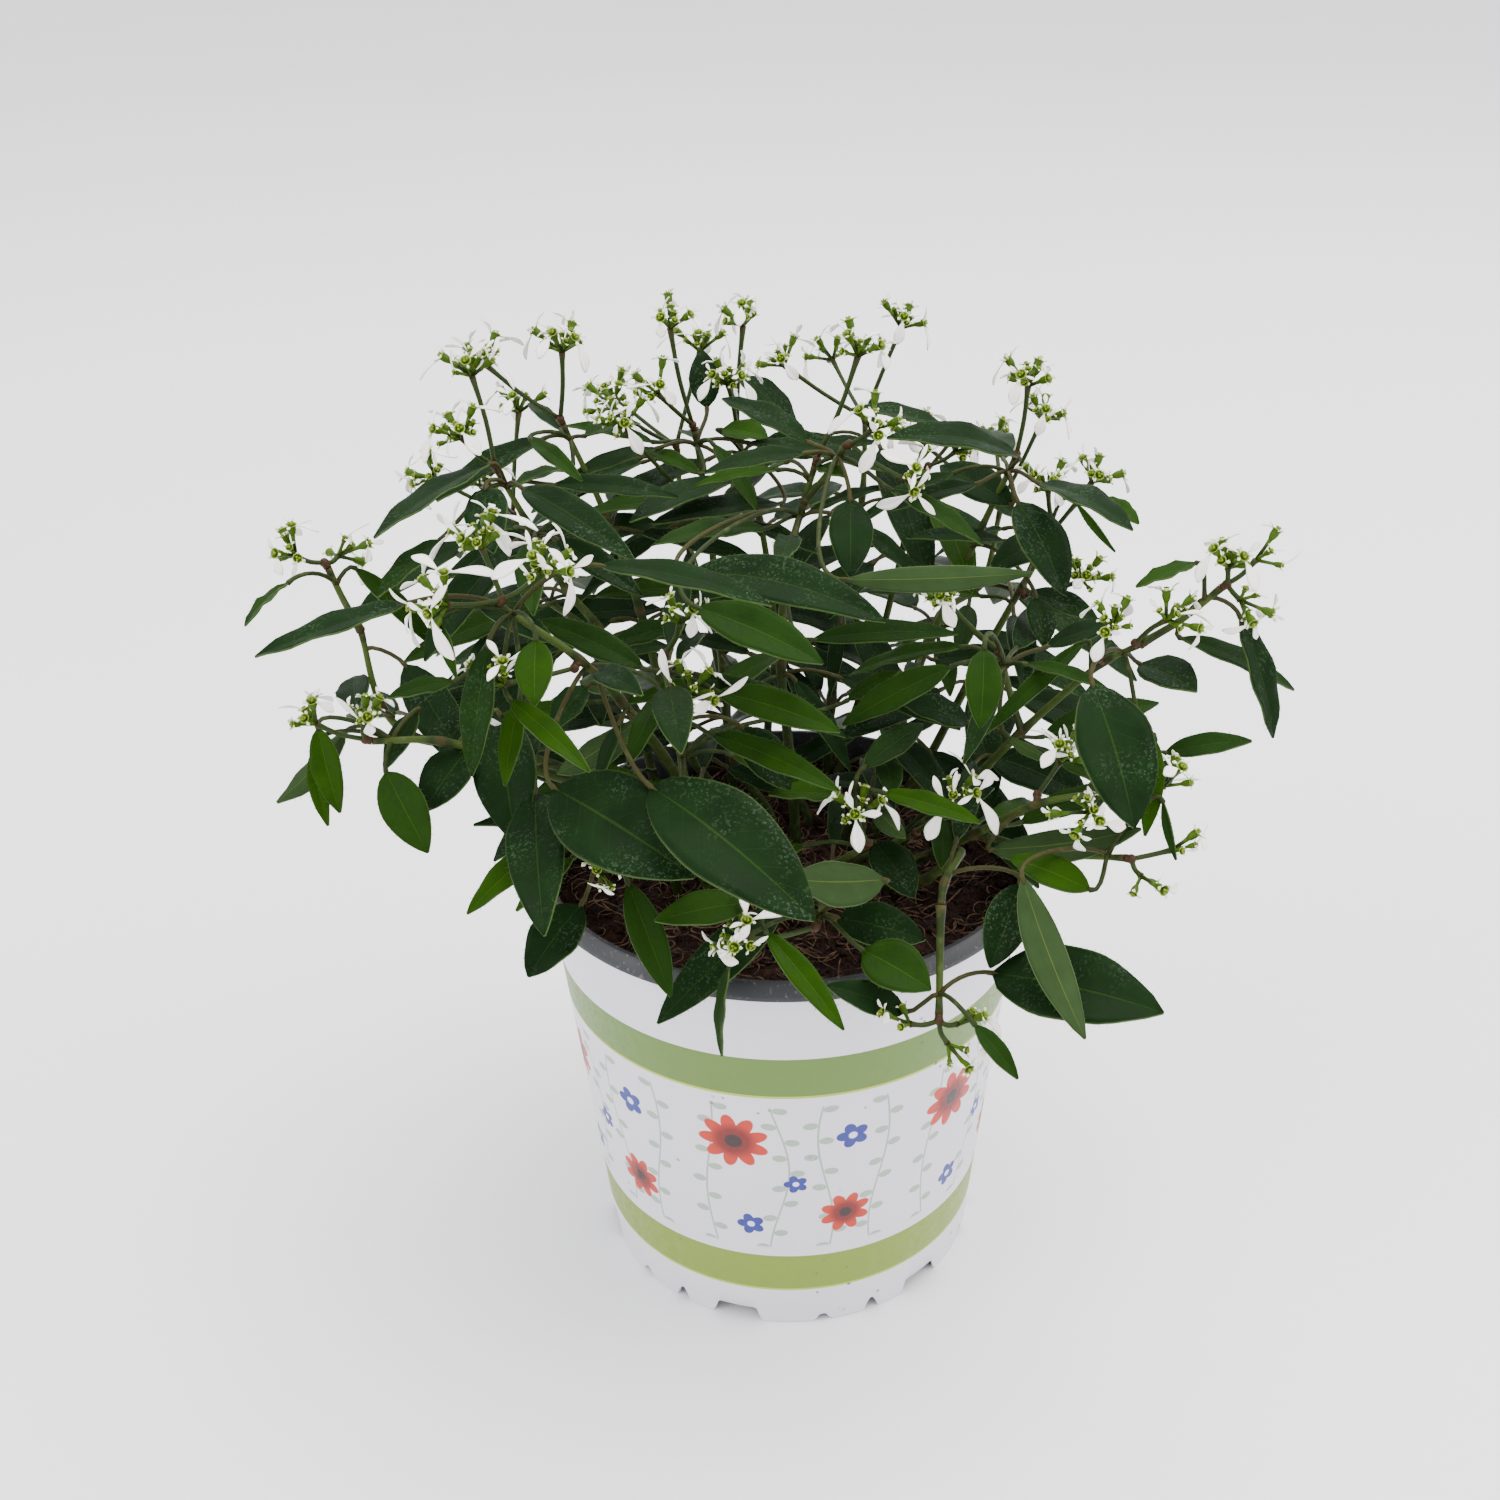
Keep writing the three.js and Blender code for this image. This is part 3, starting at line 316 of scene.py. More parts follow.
for vert in pot.verts:
    if vert.co.z < 0.5 * MM:
        vert.co.z += foot_lift(math.atan2(vert.co.x, -vert.co.y))
bmesh.ops.recalc_face_normals(pot, faces=pot.faces)
WHITE, GREY = 0, 1
for face in pot.faces:
    middle = face.calc_center_median()
    wall_radius = FOOT_RADIUS + (WALL_TOP_RADIUS - FOOT_RADIUS) * middle.z / LIP_BOTTOM
    outside = middle.xy.length > wall_radius - PRINT_SKIN
    face.material_index = WHITE if outside and middle.z < LIP_BOTTOM - 0.2 * MM else GREY

# The printed label runs all round: two green bands with small flowers and sprigs between them, which
# repeat every sixth of a turn. Its places are along the wall, in metres from the middle of a sixth.
LABEL_TURN = math.tau / 6
LABEL_RADIUS = 52 * MM
# Each band's lower and upper edge; each flower's place, height, size and petals; each sprig's place and wave
BANDS = [(12.15 * MM, 24.3 * MM, colour(112, 132, 30)), (76.5 * MM, 88.2 * MM, colour(84, 112, 38))]
DAISIES = [(-13 * MM, 62 * MM, 8.5 * MM, 9), (13 * MM, 38 * MM, 6.5 * MM, 8)]
BELLS = [(14 * MM, 63 * MM, 4 * MM, 5), (-10 * MM, 35 * MM, 3.6 * MM, 5), (1 * MM, 49 * MM, 3 * MM, 5)]
SPRIGS = [(-19 * MM, 1.5 * MM, 0.0), (-3 * MM, 2.5 * MM, 2.0), (8 * MM, 2 * MM, 4.0), (21 * MM, 1.8 * MM, 1.0)]
SPRIGS_BOTTOM, SPRIGS_TOP = 27 * MM, 74 * MM
SPRIG_WAVES = 110
SPRIG_STALK = 0.3 * MM
SPRIG_LEAF_STEP = 5 * MM
SPRIG_LEAF_OFF = 1.9 * MM
SPRIG_LEAF_REACH = 1.8 * MM
SPRIG_LEAF_HALF = 1.15 * MM
PETAL_WAIST = 0.62


def part_of(place, axis):
    return Field(place.tree, "ShaderNodeSeparateXYZ", {}, {"Vector": place}, output=axis)


def around_wall(tree):
    """How far along the wall a place lies, from the middle of its sixth, and its height"""
    across, depth, height = (part_of(places(tree), axis) for axis in "XYZ")
    limits = {0: across.maths("ARCTAN2", 0 - depth), 1: LABEL_TURN / 2, 2: -LABEL_TURN / 2}
    return Field(tree, "ShaderNodeMath", {"operation": "WRAP"}, limits) * LABEL_RADIUS, height


def daisy(along, height, place, middle_height, size, petals):
    """A ring of petals, and how far out from its middle each place is"""
    east, north = along - place, height - middle_height
    radius = (east * east + north * north).maths("SQRT")
    petal = abs((north.maths("ARCTAN2", east) * (petals / 2)).wave())
    edge = (petal * (1 - PETAL_WAIST) + PETAL_WAIST) * size
    return (radius / edge).rise(0.94, 1.0, 1.0, 0.0), radius / size


def sprig(along, height, place, sway, shift):
    """A waved stalk with small leaves on either side by turns"""
    off = along - (place + (height * SPRIG_WAVES + shift).wave() * sway)
    stalk = abs(off).rise(SPRIG_STALK * 0.6, SPRIG_STALK, 1.0, 0.0)
    step = height / SPRIG_LEAF_STEP + shift
    part = (step - step.floor() - 0.5) * (SPRIG_LEAF_STEP / SPRIG_LEAF_HALF)
    side = (step.floor() * math.pi + math.pi / 2).wave()
    reach = (off * side - SPRIG_LEAF_OFF) / SPRIG_LEAF_REACH
    leaf = (reach * reach + part * part).rise(0.75, 1.0, 1.0, 0.0)
    return stalk.most(leaf)


def label_paint(tree):
    along, height = around_wall(tree)
    within = height.rise(SPRIGS_BOTTOM, SPRIGS_BOTTOM + 1 * MM)
    within *= height.rise(SPRIGS_TOP - 1 * MM, SPRIGS_TOP, 1.0, 0.0)
    paint = blended(cloudy(tree, 40.0), colour(212, 209, 216), colour(203, 203, 212))
    for place in SPRIGS:
        paint = blended(sprig(along, height, *place) * within * 0.7, paint, colour(108, 136, 100))
    for place in BELLS:
        bloom, centre = daisy(along, height, *place)
        paint = blended(bloom, paint, colour(34, 44, 126))
        paint = blended(centre.rise(0.2, 0.3, 1.0, 0.0), paint, colour(214, 214, 236))
    for place in DAISIES:
        bloom, centre = daisy(along, height, *place)
        paint = blended(bloom, paint, colour(178, 36, 8))
        paint = blended(bloom * centre.rise(0.35, 0.75, 1.0, 0.0), paint, colour(104, 16, 10))
        paint = blended(centre.rise(0.2, 0.28, 1.0, 0.0), paint, colour(40, 18, 16))
    for low, high, green in BANDS:
        band = height.rise(low - 0.1 * MM, low) * height.rise(high, high + 0.1 * MM, 1.0, 0.0)
        paint = blended(band, paint, green)
        lower_edge = band * height.rise(low + 0.5 * MM, low + 0.7 * MM, 1.0, 0.0)
        paint = blended(lower_edge, paint, colour(158, 174, 40))
    specks = Field(tree, "ShaderNodeTexVoronoi", {}, {"Vector": places(tree), "Scale": 260.0})
    dirty = cloudy(tree, 55.0, 3.0).rise(0.54, 0.64)
    paint = blended(specks.rise(0.1, 0.16, 1.0, 0.0) * dirty * 0.8, paint, colour(60, 56, 58))
    return {
        "Base Color": paint,
        "Roughness": cloudy(tree, 700.0, 3.0).rise(0.3, 0.7, 0.34, 0.48),
        "Normal": bumps(cloudy(tree, 120.0), 0.15 * MM, 0.25),
    }


def grey_paint(tree):
    streaks = cloudy(tree, 90.0, 4.0)
    dust = cloudy(tree, 900.0).rise(0.6, 0.75)
    paint = blended(streaks, colour(24, 25, 28), colour(42, 43, 46))
    return {
        "Base Color": blended(dust * 0.35, paint, colour(128, 120, 112)),
        "Roughness": streaks.rise(0.3, 0.7, 0.42, 0.58),
        "Normal": bumps(dust, 0.05 * MM, 0.4),
    }


pot_white = finish("printed_plastic", label_paint, Specular_IOR_Level=0.45)
pot_grey = finish("grey_plastic", grey_paint, Specular_IOR_Level=0.4)
pot_piece = piece("nursery_pot", pot, [pot_white, pot_grey], "pot")
pot_piece.data.set_sharp_from_angle(angle=SHARP_EDGE)


# The soil
# Dark peat, heaped a little unevenly to just under the collar, with crumbs and pale coir fibres
# lying loose on its top.

SOIL_TOP = 103 * MM
SOIL_BUMP = 1.1 * MM
SOIL_BOTTOM = 6.35 * MM
GAP = 0.35 * MM
SOIL_RINGS = 64
SOIL_STEPS = 240
CRUMB_COUNT = 1200
CRUMB_ROUGHNESS = 0.25 * MM
CRUMB_GRAIN = 1500
FIBRE_COUNT = 700
FIBRE_PARTS = 5
FIBRE_LIFT = 0.3 * MM
UP = Vector((0, 0, 1))
chance = random.Random(11)


def heap_height(x, y):
    """The soil's top as the solid has it"""
    east, north = x / MM, y / MM
    heaps = math.sin(east * 0.23 + 1) * math.cos(north * 0.19)
    return SOIL_TOP + SOIL_BUMP * (heaps + 0.5 * math.sin(east * 0.51 - north * 0.37))


def soil_height(x, y):
    """The soil's top with its lumps, which stay within the heaps"""
    lumps = noise.fractal(Vector((x, y, 0)) * 260, 0.8, 2.1, 4)
    clods = noise.noise(Vector((x, y, 0.3)) * 95)
    return heap_height(x, y) + (lumps * 1.5 + clods * 1.2 - 0.8) * MM


def soil_radius(height):
    """How far out the soil reaches, a gap short of the pot's wall"""
    rise = height / LIP_BOTTOM
    return FOOT_RADIUS + (WALL_TOP_RADIUS - FOOT_RADIUS) * rise - WALL - GAP


soil = bmesh.new()
top_radius = soil_radius(SOIL_TOP)
spoke = [soil.verts.new((0, 0, SOIL_BOTTOM)), soil.verts.new((soil_radius(SOIL_BOTTOM), 0, SOIL_BOTTOM))]
for ring in range(SOIL_RINGS, -1, -1):
    spoke.append(soil.verts.new((top_radius * ring / SOIL_RINGS, 0, SOIL_TOP)))
edges = [soil.edges.new(pair) for pair in zip(spoke, spoke[1:])]
bmesh.ops.spin(
    soil, geom=spoke + edges, cent=(0, 0, 0), axis=(0, 0, 1), angle=math.tau, steps=SOIL_STEPS, use_merge=True,
)
bmesh.ops.remove_doubles(soil, verts=soil.verts, dist=0.01 * MM)
for vert in soil.verts:
    if vert.co.z > SOIL_TOP - 1 * MM:
        vert.co.z = soil_height(vert.co.x, vert.co.y)
bmesh.ops.recalc_face_normals(soil, faces=soil.faces)


def peat_paint(tree):
    grain = cloudy(tree, 1400.0, 4.0)
    clods = cloudy(tree, 260.0, 3.0)
    paint = blended(grain.rise(0.3, 0.7), colour(9, 5, 4), colour(52, 33, 26))
    return {
        "Base Color": blended(clods.rise(0.5, 0.75) * 0.6, paint, colour(74, 48, 36)),
        "Roughness": grain.rise(0.3, 0.7, 0.8, 1.0),
        "Normal": bumps(grain + clods, 0.8 * MM, 0.9),
    }


def fibre_paint(tree):
    patches = cloudy(tree, 300.0)
    return {
        "Base Color": blended(patches.rise(0.3, 0.7), colour(40, 26, 20), colour(112, 86, 66)),
        "Roughness": patches.rise(0.3, 0.7, 0.7, 0.9),
    }


peat = finish("peat", peat_paint, Specular_IOR_Level=0.15)
fibre = finish("coir", fibre_paint, Specular_IOR_Level=0.2)
piece("peat", soil, [peat], "soil")


def layered():
    """An empty mesh with room for a tone at each point and a map of its own"""
    shape = bmesh.new()
    shape.verts.layers.float.new("tone")
    shape.loops.layers.uv.new("own_map")
    return shape


def tube(shape, points, radii, sides, tone=0.0, tones=None, ridges=None, axis=None):
    """A closed tube along points, from a cylinder cut into rings: for each ring its radius, tone and ridges.
    The rings lie across the tube's own way, or all across one axis."""
    last = len(points) - 1
    made = bmesh.ops.create_cone(shape, cap_ends=True, segments=sides, radius1=1, radius2=1, depth=2)["verts"]
    if last > 1:
        bottom = [vert for vert in made if vert.co.z < 0]
        upright = [edge for vert in bottom for edge in vert.link_edges if edge.other_vert(vert).co.z > 0]
        cut = bmesh.ops.subdivide_edges(shape, edges=upright, cuts=last - 1)["geom_inner"]
        rings = [part for part in cut if isinstance(part, bmesh.types.BMEdge)]
        made = {vert for edge in rings for face in edge.link_faces for vert in face.verts}
    shade = shape.verts.layers.float["tone"]
    frames = []
    sideways = (axis or points[1] - points[0]).orthogonal()
    for index in range(last + 1):
        ahead = axis or (points[min(index + 1, last)] - points[max(index - 1, 0)]).normalized()
        sideways = (sideways - ahead * sideways.dot(ahead)).normalized()
        frames.append((sideways, ahead.cross(sideways)))
    for vert in made:
        index = round((vert.co.z + 1) / 2 * last)
        first, second = frames[index]
        ridge = math.cos(math.atan2(vert.co.y, vert.co.x) * sides / 2) * ridges[index] if ridges else 0
        vert[shade] = tones[index] if tones else tone
        vert.co = points[index] + (first * vert.co.x + second * vert.co.y) * radii[index] * (1 + ridge)


fibres = layered()
for _ in range(FIBRE_COUNT):
    turn, radius = chance.uniform(0, math.tau), top_radius * math.sqrt(chance.uniform(0, 0.93))
    place = Vector((radius * math.cos(turn), radius * math.sin(turn), 0))
    way = chance.uniform(0, math.tau)
    curl = chance.uniform(-0.95, 0.95)
    length = chance.uniform(4, 16) * MM
    points = [place]
    for _ in range(FIBRE_PARTS):
        place = place + Vector((math.cos(way), math.sin(way), 0)) * length / FIBRE_PARTS
        points.append(place)
        way += curl
    if max(point.xy.length for point in points) > top_radius - 0.5 * MM:
        continue
    arch = chance.uniform(0, 1.2) * MM
    for index, point in enumerate(points):
        lift = arch * math.sin(math.pi * index / FIBRE_PARTS)
        point.z = heap_height(point.x, point.y) + FIBRE_LIFT + lift
    thick = chance.uniform(0.08, 0.22) * MM
    tube(fibres, points, [thick] * FIBRE_PARTS + [thick / 2], 4)
piece("coir_fibres", fibres, [fibre], "soil")

crumbs = bmesh.new()
for _ in range(CRUMB_COUNT):
    turn, radius = chance.uniform(0, math.tau), (top_radius - 2 * MM) * math.sqrt(chance.uniform(0, 1))
    x, y = radius * math.cos(turn), radius * math.sin(turn)
    size = chance.uniform(0.3, 1.3) * MM
    stretch = Matrix.Diagonal((chance.uniform(0.7, 1.6), chance.uniform(0.6, 1), chance.uniform(0.5, 0.9), 1))
    spot = Matrix.Translation((x, y, soil_height(x, y) + size * 0.2))
    turned = Matrix.Rotation(chance.uniform(0, math.tau), 4, Vector((0.3, 0.2, 1)).normalized())
    bmesh.ops.create_icosphere(crumbs, subdivisions=1, radius=size, matrix=spot @ turned @ stretch)
for vert in crumbs.verts:
    spot = vert.co * CRUMB_GRAIN
    shove = Vector([noise.noise(spot + UP * shift) for shift in (0, 17, 41)])
    vert.co += shove * CRUMB_ROUGHNESS
piece("peat_crumbs", crumbs, [peat], "soil")


# The shoots
# Soft stems that rise out of the soil and zigzag from joint to joint, each joint swollen and reddish.
# Places are written as seen: column, row and how many millimetres behind the pot's middle.

STEM_DEPTH = 15 * MM
STEM_CLEAR = 2 * MM
STEM_RADIUS = 1.5 * MM
STEM_TIP_RADIUS = 0.6 * MM
BRANCH_RADIUS = 0.85 * MM
PEDUNCLE_RADIUS = 0.65 * MM
BUD_BELOW = 4 * MM
STEM_STEP = 1.6 * MM
STEM_SIDES = 12
STEM_RIDGE = 0.05
JOINT_SWELLING = 0.3
JOINT_LENGTH = 2.1 * MM
STAIN_LENGTH = 2.0 * MM
JOINT_TONE = 0.62


def seen(spot):
    """Where a line of sight, by its column and row, meets an upright sheet so far behind the pot's middle"""
    column, row, behind = spot
    ray = forward + sight_right * ((column - PHOTO_CENTRE) / LENS_PIXELS)
    ray -= sight_up * ((row - PHOTO_CENTRE) / LENS_PIXELS)
    return EYE + ray * ((behind * MM - EYE.y) / ray.y)


def shoot(name, foot, stem, sprays, leaves, bare=()):
    """A shoot from its foot on the soil up through its joints; the bare joints carry no leaf of their own"""
    return SimpleNamespace(
        name=name, foot=Vector((*foot, 0)) * MM, stem=stem, sprays=sprays, leaves=leaves, bare=bare,
    )


def spray(joint, *heads, fork=None):
    """Heads of flowers from one joint, counted from 0 up the stem, or from the end of a side branch there"""
    return SimpleNamespace(joint=joint, heads=heads, fork=fork)


def head(place, cups, bract=8):
    """A head of flowers: how many outer cups it has, and how long their bracts are in millimetres"""
    return SimpleNamespace(place=place, cups=cups, bract=bract)


def leaf(base, tip, width, arch=None, roll=0, under=False, young_and_backlit=None):
    """A leaf by the two ends of its blade, its width and arch in millimetres, and its roll in degrees; it is
    turned over where its underside is seen, and the nearer its youth is to 1 the brighter green it is, partly a
    young leaf's own lighter green and partly painted glow of light shining through it"""
    return SimpleNamespace(base=base, tip=tip, width=width, arch=arch, roll=roll, under=under, young_and_backlit=young_and_backlit)


SHOOTS = [
    shoot(
        "left_tall",
        foot=(-17, 7),
        stem=[(640, 720, 2), (598, 628, 4), (567, 590, 5), (527, 522, 6), (498, 472, 6)],
        sprays=[
            spray(4, head((462, 438, 0), 4), head((472, 376, 10), 4)),
        ],
        leaves=[
            leaf((490, 464, 2), (374, 538, -28), 8, arch=1.5, roll=10),
            leaf((522, 488, -2), (634, 560, -32), 8),
            leaf((485, 489, -6), (494, 553, -26), 9.6),
            leaf((612, 645, -6), (688, 625, -10), 6),
            leaf((440, 540, -18), (378, 597, -30), 5.5),
        ],
    ),
    shoot(
        "left_twin",
        foot=(-9, 13),
        stem=[(680, 740, 14), (640, 610, 20), (605, 514, 24), (563, 424, 24)],
        sprays=[
            spray(3, head((562, 352, 22), 4), head((486, 365, 22), 4)),
        ],
        leaves=[
            leaf((531, 440, 12), (582, 481, -6), 4),
            leaf((571, 470, 18), (512, 488, -2), 5),
            leaf((585, 436, 28), (640, 424, 46), 6, roll=10),
            leaf((668, 646, 6), (594, 659, -6), 6),
        ],
    ),
    shoot(
        "far_left",
        foot=(-26, 1),
        bare=(1,),
        stem=[(610, 790, -6), (510, 752, -14), (410, 735, -18), (381, 704, -18), (361, 631, -14)],
        sprays=[
            spray(
                4,
                head((296, 556, -16), 3, bract=6),
                head((338, 556, -10), 2, bract=6),
                fork=(328, 568, -14),
            ),
        ],
        leaves=[
            leaf((288, 583, -26), (245, 626, -38), 4, roll=20),
            leaf((355, 568, -10), (434, 646, -4), 5),
            leaf((405, 665, -20), (477, 778, -44), 10),
            leaf((357, 707, -26), (354, 677, -12), 8),
        ],
    ),
    shoot(
        "mid_left",
        foot=(-14, -7),
        stem=[(680, 780, -14), (620, 700, -30), (579, 659, -42), (497, 604, -46)],
        sprays=[
            spray(2, head((505, 684, -56), 3, bract=10)),
            spray(
                3,
                head((447, 605, -52), 4, bract=11),
                head((482, 548, -44), 4, bract=10),
                head((540, 572, -52), 4, bract=10),
            ),
        ],
        leaves=[
            leaf((651, 787, -66), (815, 921, -92), 18.5, arch=4),
            leaf((554, 788, -58), (694, 878, -80), 20),
            leaf((406, 604, -46), (255, 657, -54), 8, arch=0.8, roll=20),
            leaf((510, 700, -60), (590, 772, -78), 4.8, young_and_backlit=1),
            leaf((520, 700, -52), (505, 786, -66), 4.8, young_and_backlit=1),
            leaf((536, 640, -58), (535, 706, -68), 7.4, young_and_backlit=0.6),
            leaf((440, 625, -54), (456, 677, -62), 2.6),
            leaf((453, 682, -48), (388, 698, -56), 4.4),
            leaf((488, 645, -54), (472, 776, -68), 6.6),
            leaf((660, 696, -44), (628, 766, -58), 4.8),
            leaf((636, 722, -30), (558, 774, -46), 7.5, under=True),
            leaf((586, 686, -30), (552, 730, -38), 7),
            leaf((600, 566, -46), (772, 606, -56), 7, roll=-20),
        ],
    ),
    shoot(
        "low_left",
        foot=(-26, -10),
        stem=[(610, 800, -26), (520, 765, -36), (440, 741, -42), (372, 741, -44)],
        sprays=[
            spray(3, head((364, 724, -44), 3, bract=4), head((316, 724, -46), 2, bract=5)),
        ],
        leaves=[
            leaf((318, 728, -52), (340, 813, -62), 6.3, young_and_backlit=1),
            leaf((312, 752, -44), (328, 826, -52), 4, young_and_backlit=0.9),
            leaf((345, 732, -38), (277, 803, -44), 6.5, under=True),
            leaf((386, 772, -48), (428, 853, -60), 9.4, young_and_backlit=0.6),
            leaf((500, 714, -34), (516, 842, -54), 13.5),
            leaf((418, 712, -34), (385, 769, -42), 5.8),
            leaf((470, 748, -40), (424, 812, -50), 11),
        ],
    ),
    shoot(
        "front_left",
        foot=(-17, -19),
        stem=[(680, 850, -36), (625, 842, -50), (590, 838, -56)],
        sprays=[
            spray(2, head((600, 872, -66), 2, bract=8)),
        ],
        leaves=[
            leaf((553, 836, -60), (467, 914, -72), 6, young_and_backlit=1),
            leaf((573, 858, -62), (516, 911, -72), 4, young_and_backlit=1),
            leaf((581, 905, -60), (528, 977, -72), 10.8),
            leaf((628, 883, -66), (671, 997, -80), 7, young_and_backlit=0.6),
            leaf((747, 903, -64), (655, 921, -74), 7.6, young_and_backlit=0.6),
        ],
    ),
    shoot(
        "front_mid",
        foot=(0, -23),
        stem=[(818, 880, -38), (822, 903, -50), (818, 925, -60)],
        sprays=[
            spray(2, head((745, 940, -72), 4, bract=10)),
        ],
        leaves=[
            leaf((729, 966, -72), (722, 1056, -80), 4, roll=55),
            leaf((766, 932, -74), (844, 1030, -88), 5.4, young_and_backlit=1),
            leaf((863, 950, -66), (931, 990, -76), 11.3, young_and_backlit=0.6),
            leaf((838, 918, -52), (925, 940, -62), 10),
            leaf((885, 880, -56), (793, 880, -66), 10.4, under=True),
        ],
    ),
    shoot(
        "front_bloom",
        foot=(8, -14),
        stem=[(835, 865, -26), (868, 846, -38)],
        sprays=[
            spray(1, head((858, 814, -42), 4, bract=9)),
        ],
        leaves=[
            leaf((841, 797, -44), (769, 795, -52), 6, roll=20, young_and_backlit=1),
            leaf((875, 842, -46), (914, 898, -58), 9.6),
            leaf((864, 767, -36), (923, 724, -20), 6.2),
            leaf((885, 758, -26), (893, 795, -36), 6),
        ],
    ),
    shoot(
        "right_bloom",
        foot=(16, -6),
        stem=[(880, 850, -18), (914, 834, -30)],
        sprays=[
            spray(1, head((954, 797, -42), 3, bract=11)),
        ],
        leaves=[
            leaf((884, 793, -46), (981, 823, -56), 5, young_and_backlit=1),
            leaf((873, 806, -32), (905, 838, -42), 4.8, under=True),
            leaf((943, 820, -34), (941, 868, -44), 5),
        ],
    ),
    shoot(
        "front_right",
        foot=(19, -16),
        bare=(1, 3),
        stem=[(925, 880, -32), (960, 852, -42), (944, 884, -56), (941, 905, -60)],
        sprays=[
            spray(
                3,
                head((910, 1024, -76), 1, bract=6),
                head((958, 1024, -76), 1, bract=8),
                head((948, 1044, -78), 1, bract=6),
                fork=(939, 1014, -74),
            ),
        ],
        leaves=[
            leaf((992, 973, -66), (1164, 1013, -84), 17),
            leaf((975, 1025, -80), (1018, 1079, -88), 4.2, young_and_backlit=0.6),
            leaf((905, 1012, -76), (826, 985, -78), 6.7),
            leaf((1020, 884, -56), (990, 968, -68), 9.2),
        ],
    ),
    shoot(
        "right_low",
        foot=(25, -9),
        bare=(1,),
        stem=[(940, 850, -22), (977, 833, -34), (1037, 804, -44), (1101, 792, -50)],
        sprays=[
            spray(3, head((1165, 786, -50), 2, bract=5), head((1090, 812, -56), 3, bract=6)),
            spray(2, head((1060, 762, -40), 3, bract=8)),
            spray(
                1,
                head((1172, 850, -58), 1, bract=5),
                head((1141, 876, -62), 1, bract=5),
                fork=(1125, 858, -58),
            ),
        ],
        leaves=[
            leaf((1022, 878, -64), (1085, 1039, -90), 8.2, under=True),
            leaf((990, 850, -48), (1141, 829, -60), 8.2, under=True),
            leaf((1090, 890, -64), (1010, 858, -56), 7.5, young_and_backlit=1),
            leaf((1155, 740, -46), (1145, 836, -56), 4.8, young_and_backlit=1),
            leaf((1163, 802, -54), (1176, 860, -60), 2, roll=50),
        ],
    ),
    shoot(
        "right_main",
        foot=(27, 2),
        stem=[(930, 810, -2), (973, 779, -8), (1022, 731, -16), (1104, 662, -24), (1139, 645, -26)],
        sprays=[
            spray(3, head((1112, 628, -30), 3, bract=7)),
            spray(
                4,
                head((1228, 568, -26), 3, bract=8),
                head((1256, 560, -24), 1, bract=4),
                head((1240, 600, -28), 2, bract=7),
                fork=(1221, 588, -26),
            ),
            spray(4, head((1166, 620, -32), 3, bract=6)),
            spray(2, head((948, 603, -26), 4, bract=7), fork=(1001, 655, -22)),
        ],
        leaves=[
            leaf((1092, 684, -38), (1134, 828, -56), 17),
            leaf((1180, 638, -22), (1294, 690, -20), 5.8),
            leaf((1240, 617, -24), (1273, 738, -30), 7),
            leaf((1196, 563, -26), (1136, 587, -30), 5, arch=0.5, roll=30),
            leaf((1140, 664, -18), (1197, 692, -30), 11),
            leaf((1085, 641, -22), (981, 737, -34), 4),
            leaf((984, 648, -34), (980, 728, -44), 7.6, young_and_backlit=0.6),
            leaf((1165, 753, -40), (1252, 741, -44), 5.4),
            leaf((968, 722, -8), (902, 704, -14), 8),
            leaf((992, 756, 2), (1088, 800, -16), 14),
            leaf((1008, 737, -30), (1051, 761, -36), 3, under=True),
        ],
    ),
    shoot(
        "right_tall",
        foot=(15, 11),
        stem=[(880, 760, 16), (930, 640, 20), (980, 531, 20), (1015, 459, 16)],
        sprays=[
            spray(3, head((1028, 386, 14), 4, bract=7)),
        ],
        leaves=[
            leaf((1018, 502, 4), (1064, 595, -12), 12),
            leaf((1018, 457, 12), (887, 438, -6), 9, arch=3, roll=5),
            leaf((1012, 505, 14), (940, 466, 34), 9, roll=-30),
            leaf((1036, 598, 2), (1044, 647, -8), 7),
            leaf((936, 660, 8), (1027, 662, -2), 7),
        ],
    ),
    shoot(
        "right_upper",
        foot=(23, 15),
        stem=[(915, 780, 24), (975, 670, 26), (1020, 590, 24), (1053, 533, 20)],
        sprays=[
            spray(3, head((1048, 490, 16), 4, bract=6), head((1092, 482, 18), 4, bract=6)),
            spray(2, head((1082, 580, 8), 4, bract=5)),
        ],
        leaves=[
            leaf((1104, 498, 14), (1139, 524, 8), 5, young_and_backlit=1),
            leaf((1077, 504, 10), (1115, 552, 0), 1.8, roll=50),
            leaf((1029, 592, 6), (1099, 623, -6), 7.5),
            leaf((1050, 537, 12), (989, 571, -2), 8),
        ],
    ),
    shoot(
        "centre_tall",
        foot=(3, 4),
        stem=[(790, 760, 4), (781, 660, 8), (788, 562, 12), (804, 502, 11), (815, 465, 10)],
        sprays=[
            spray(4, head((858, 356, 8), 4, bract=6)),
            spray(
                3,
                head((872, 430, 0), 4, bract=9),
                head((905, 480, -6), 3, bract=9),
                fork=(845, 446, 4),
            ),
        ],
        leaves=[
            leaf((690, 574, -28), (886, 622, -46), 11, arch=5),
            leaf((850, 500, -8), (850, 577, -22), 9.4),
            leaf((846, 580, -32), (1033, 573, -40), 5.6, roll=25, under=True),
            leaf((891, 490, -2), (983, 545, -18), 5),
            leaf((698, 608, -40), (823, 664, -54), 9.8, young_and_backlit=0.5),
            leaf((818, 467, 4), (846, 477, -2), 5),
            leaf((812, 640, -14), (958, 634, -14), 6),
        ],
    ),
    shoot(
        "centre_bloom",
        foot=(-5, -12),
        stem=[(690, 790, -22), (681, 750, -30), (683, 712, -36)],
        sprays=[
            spray(2, head((690, 694, -40), 4, bract=13)),
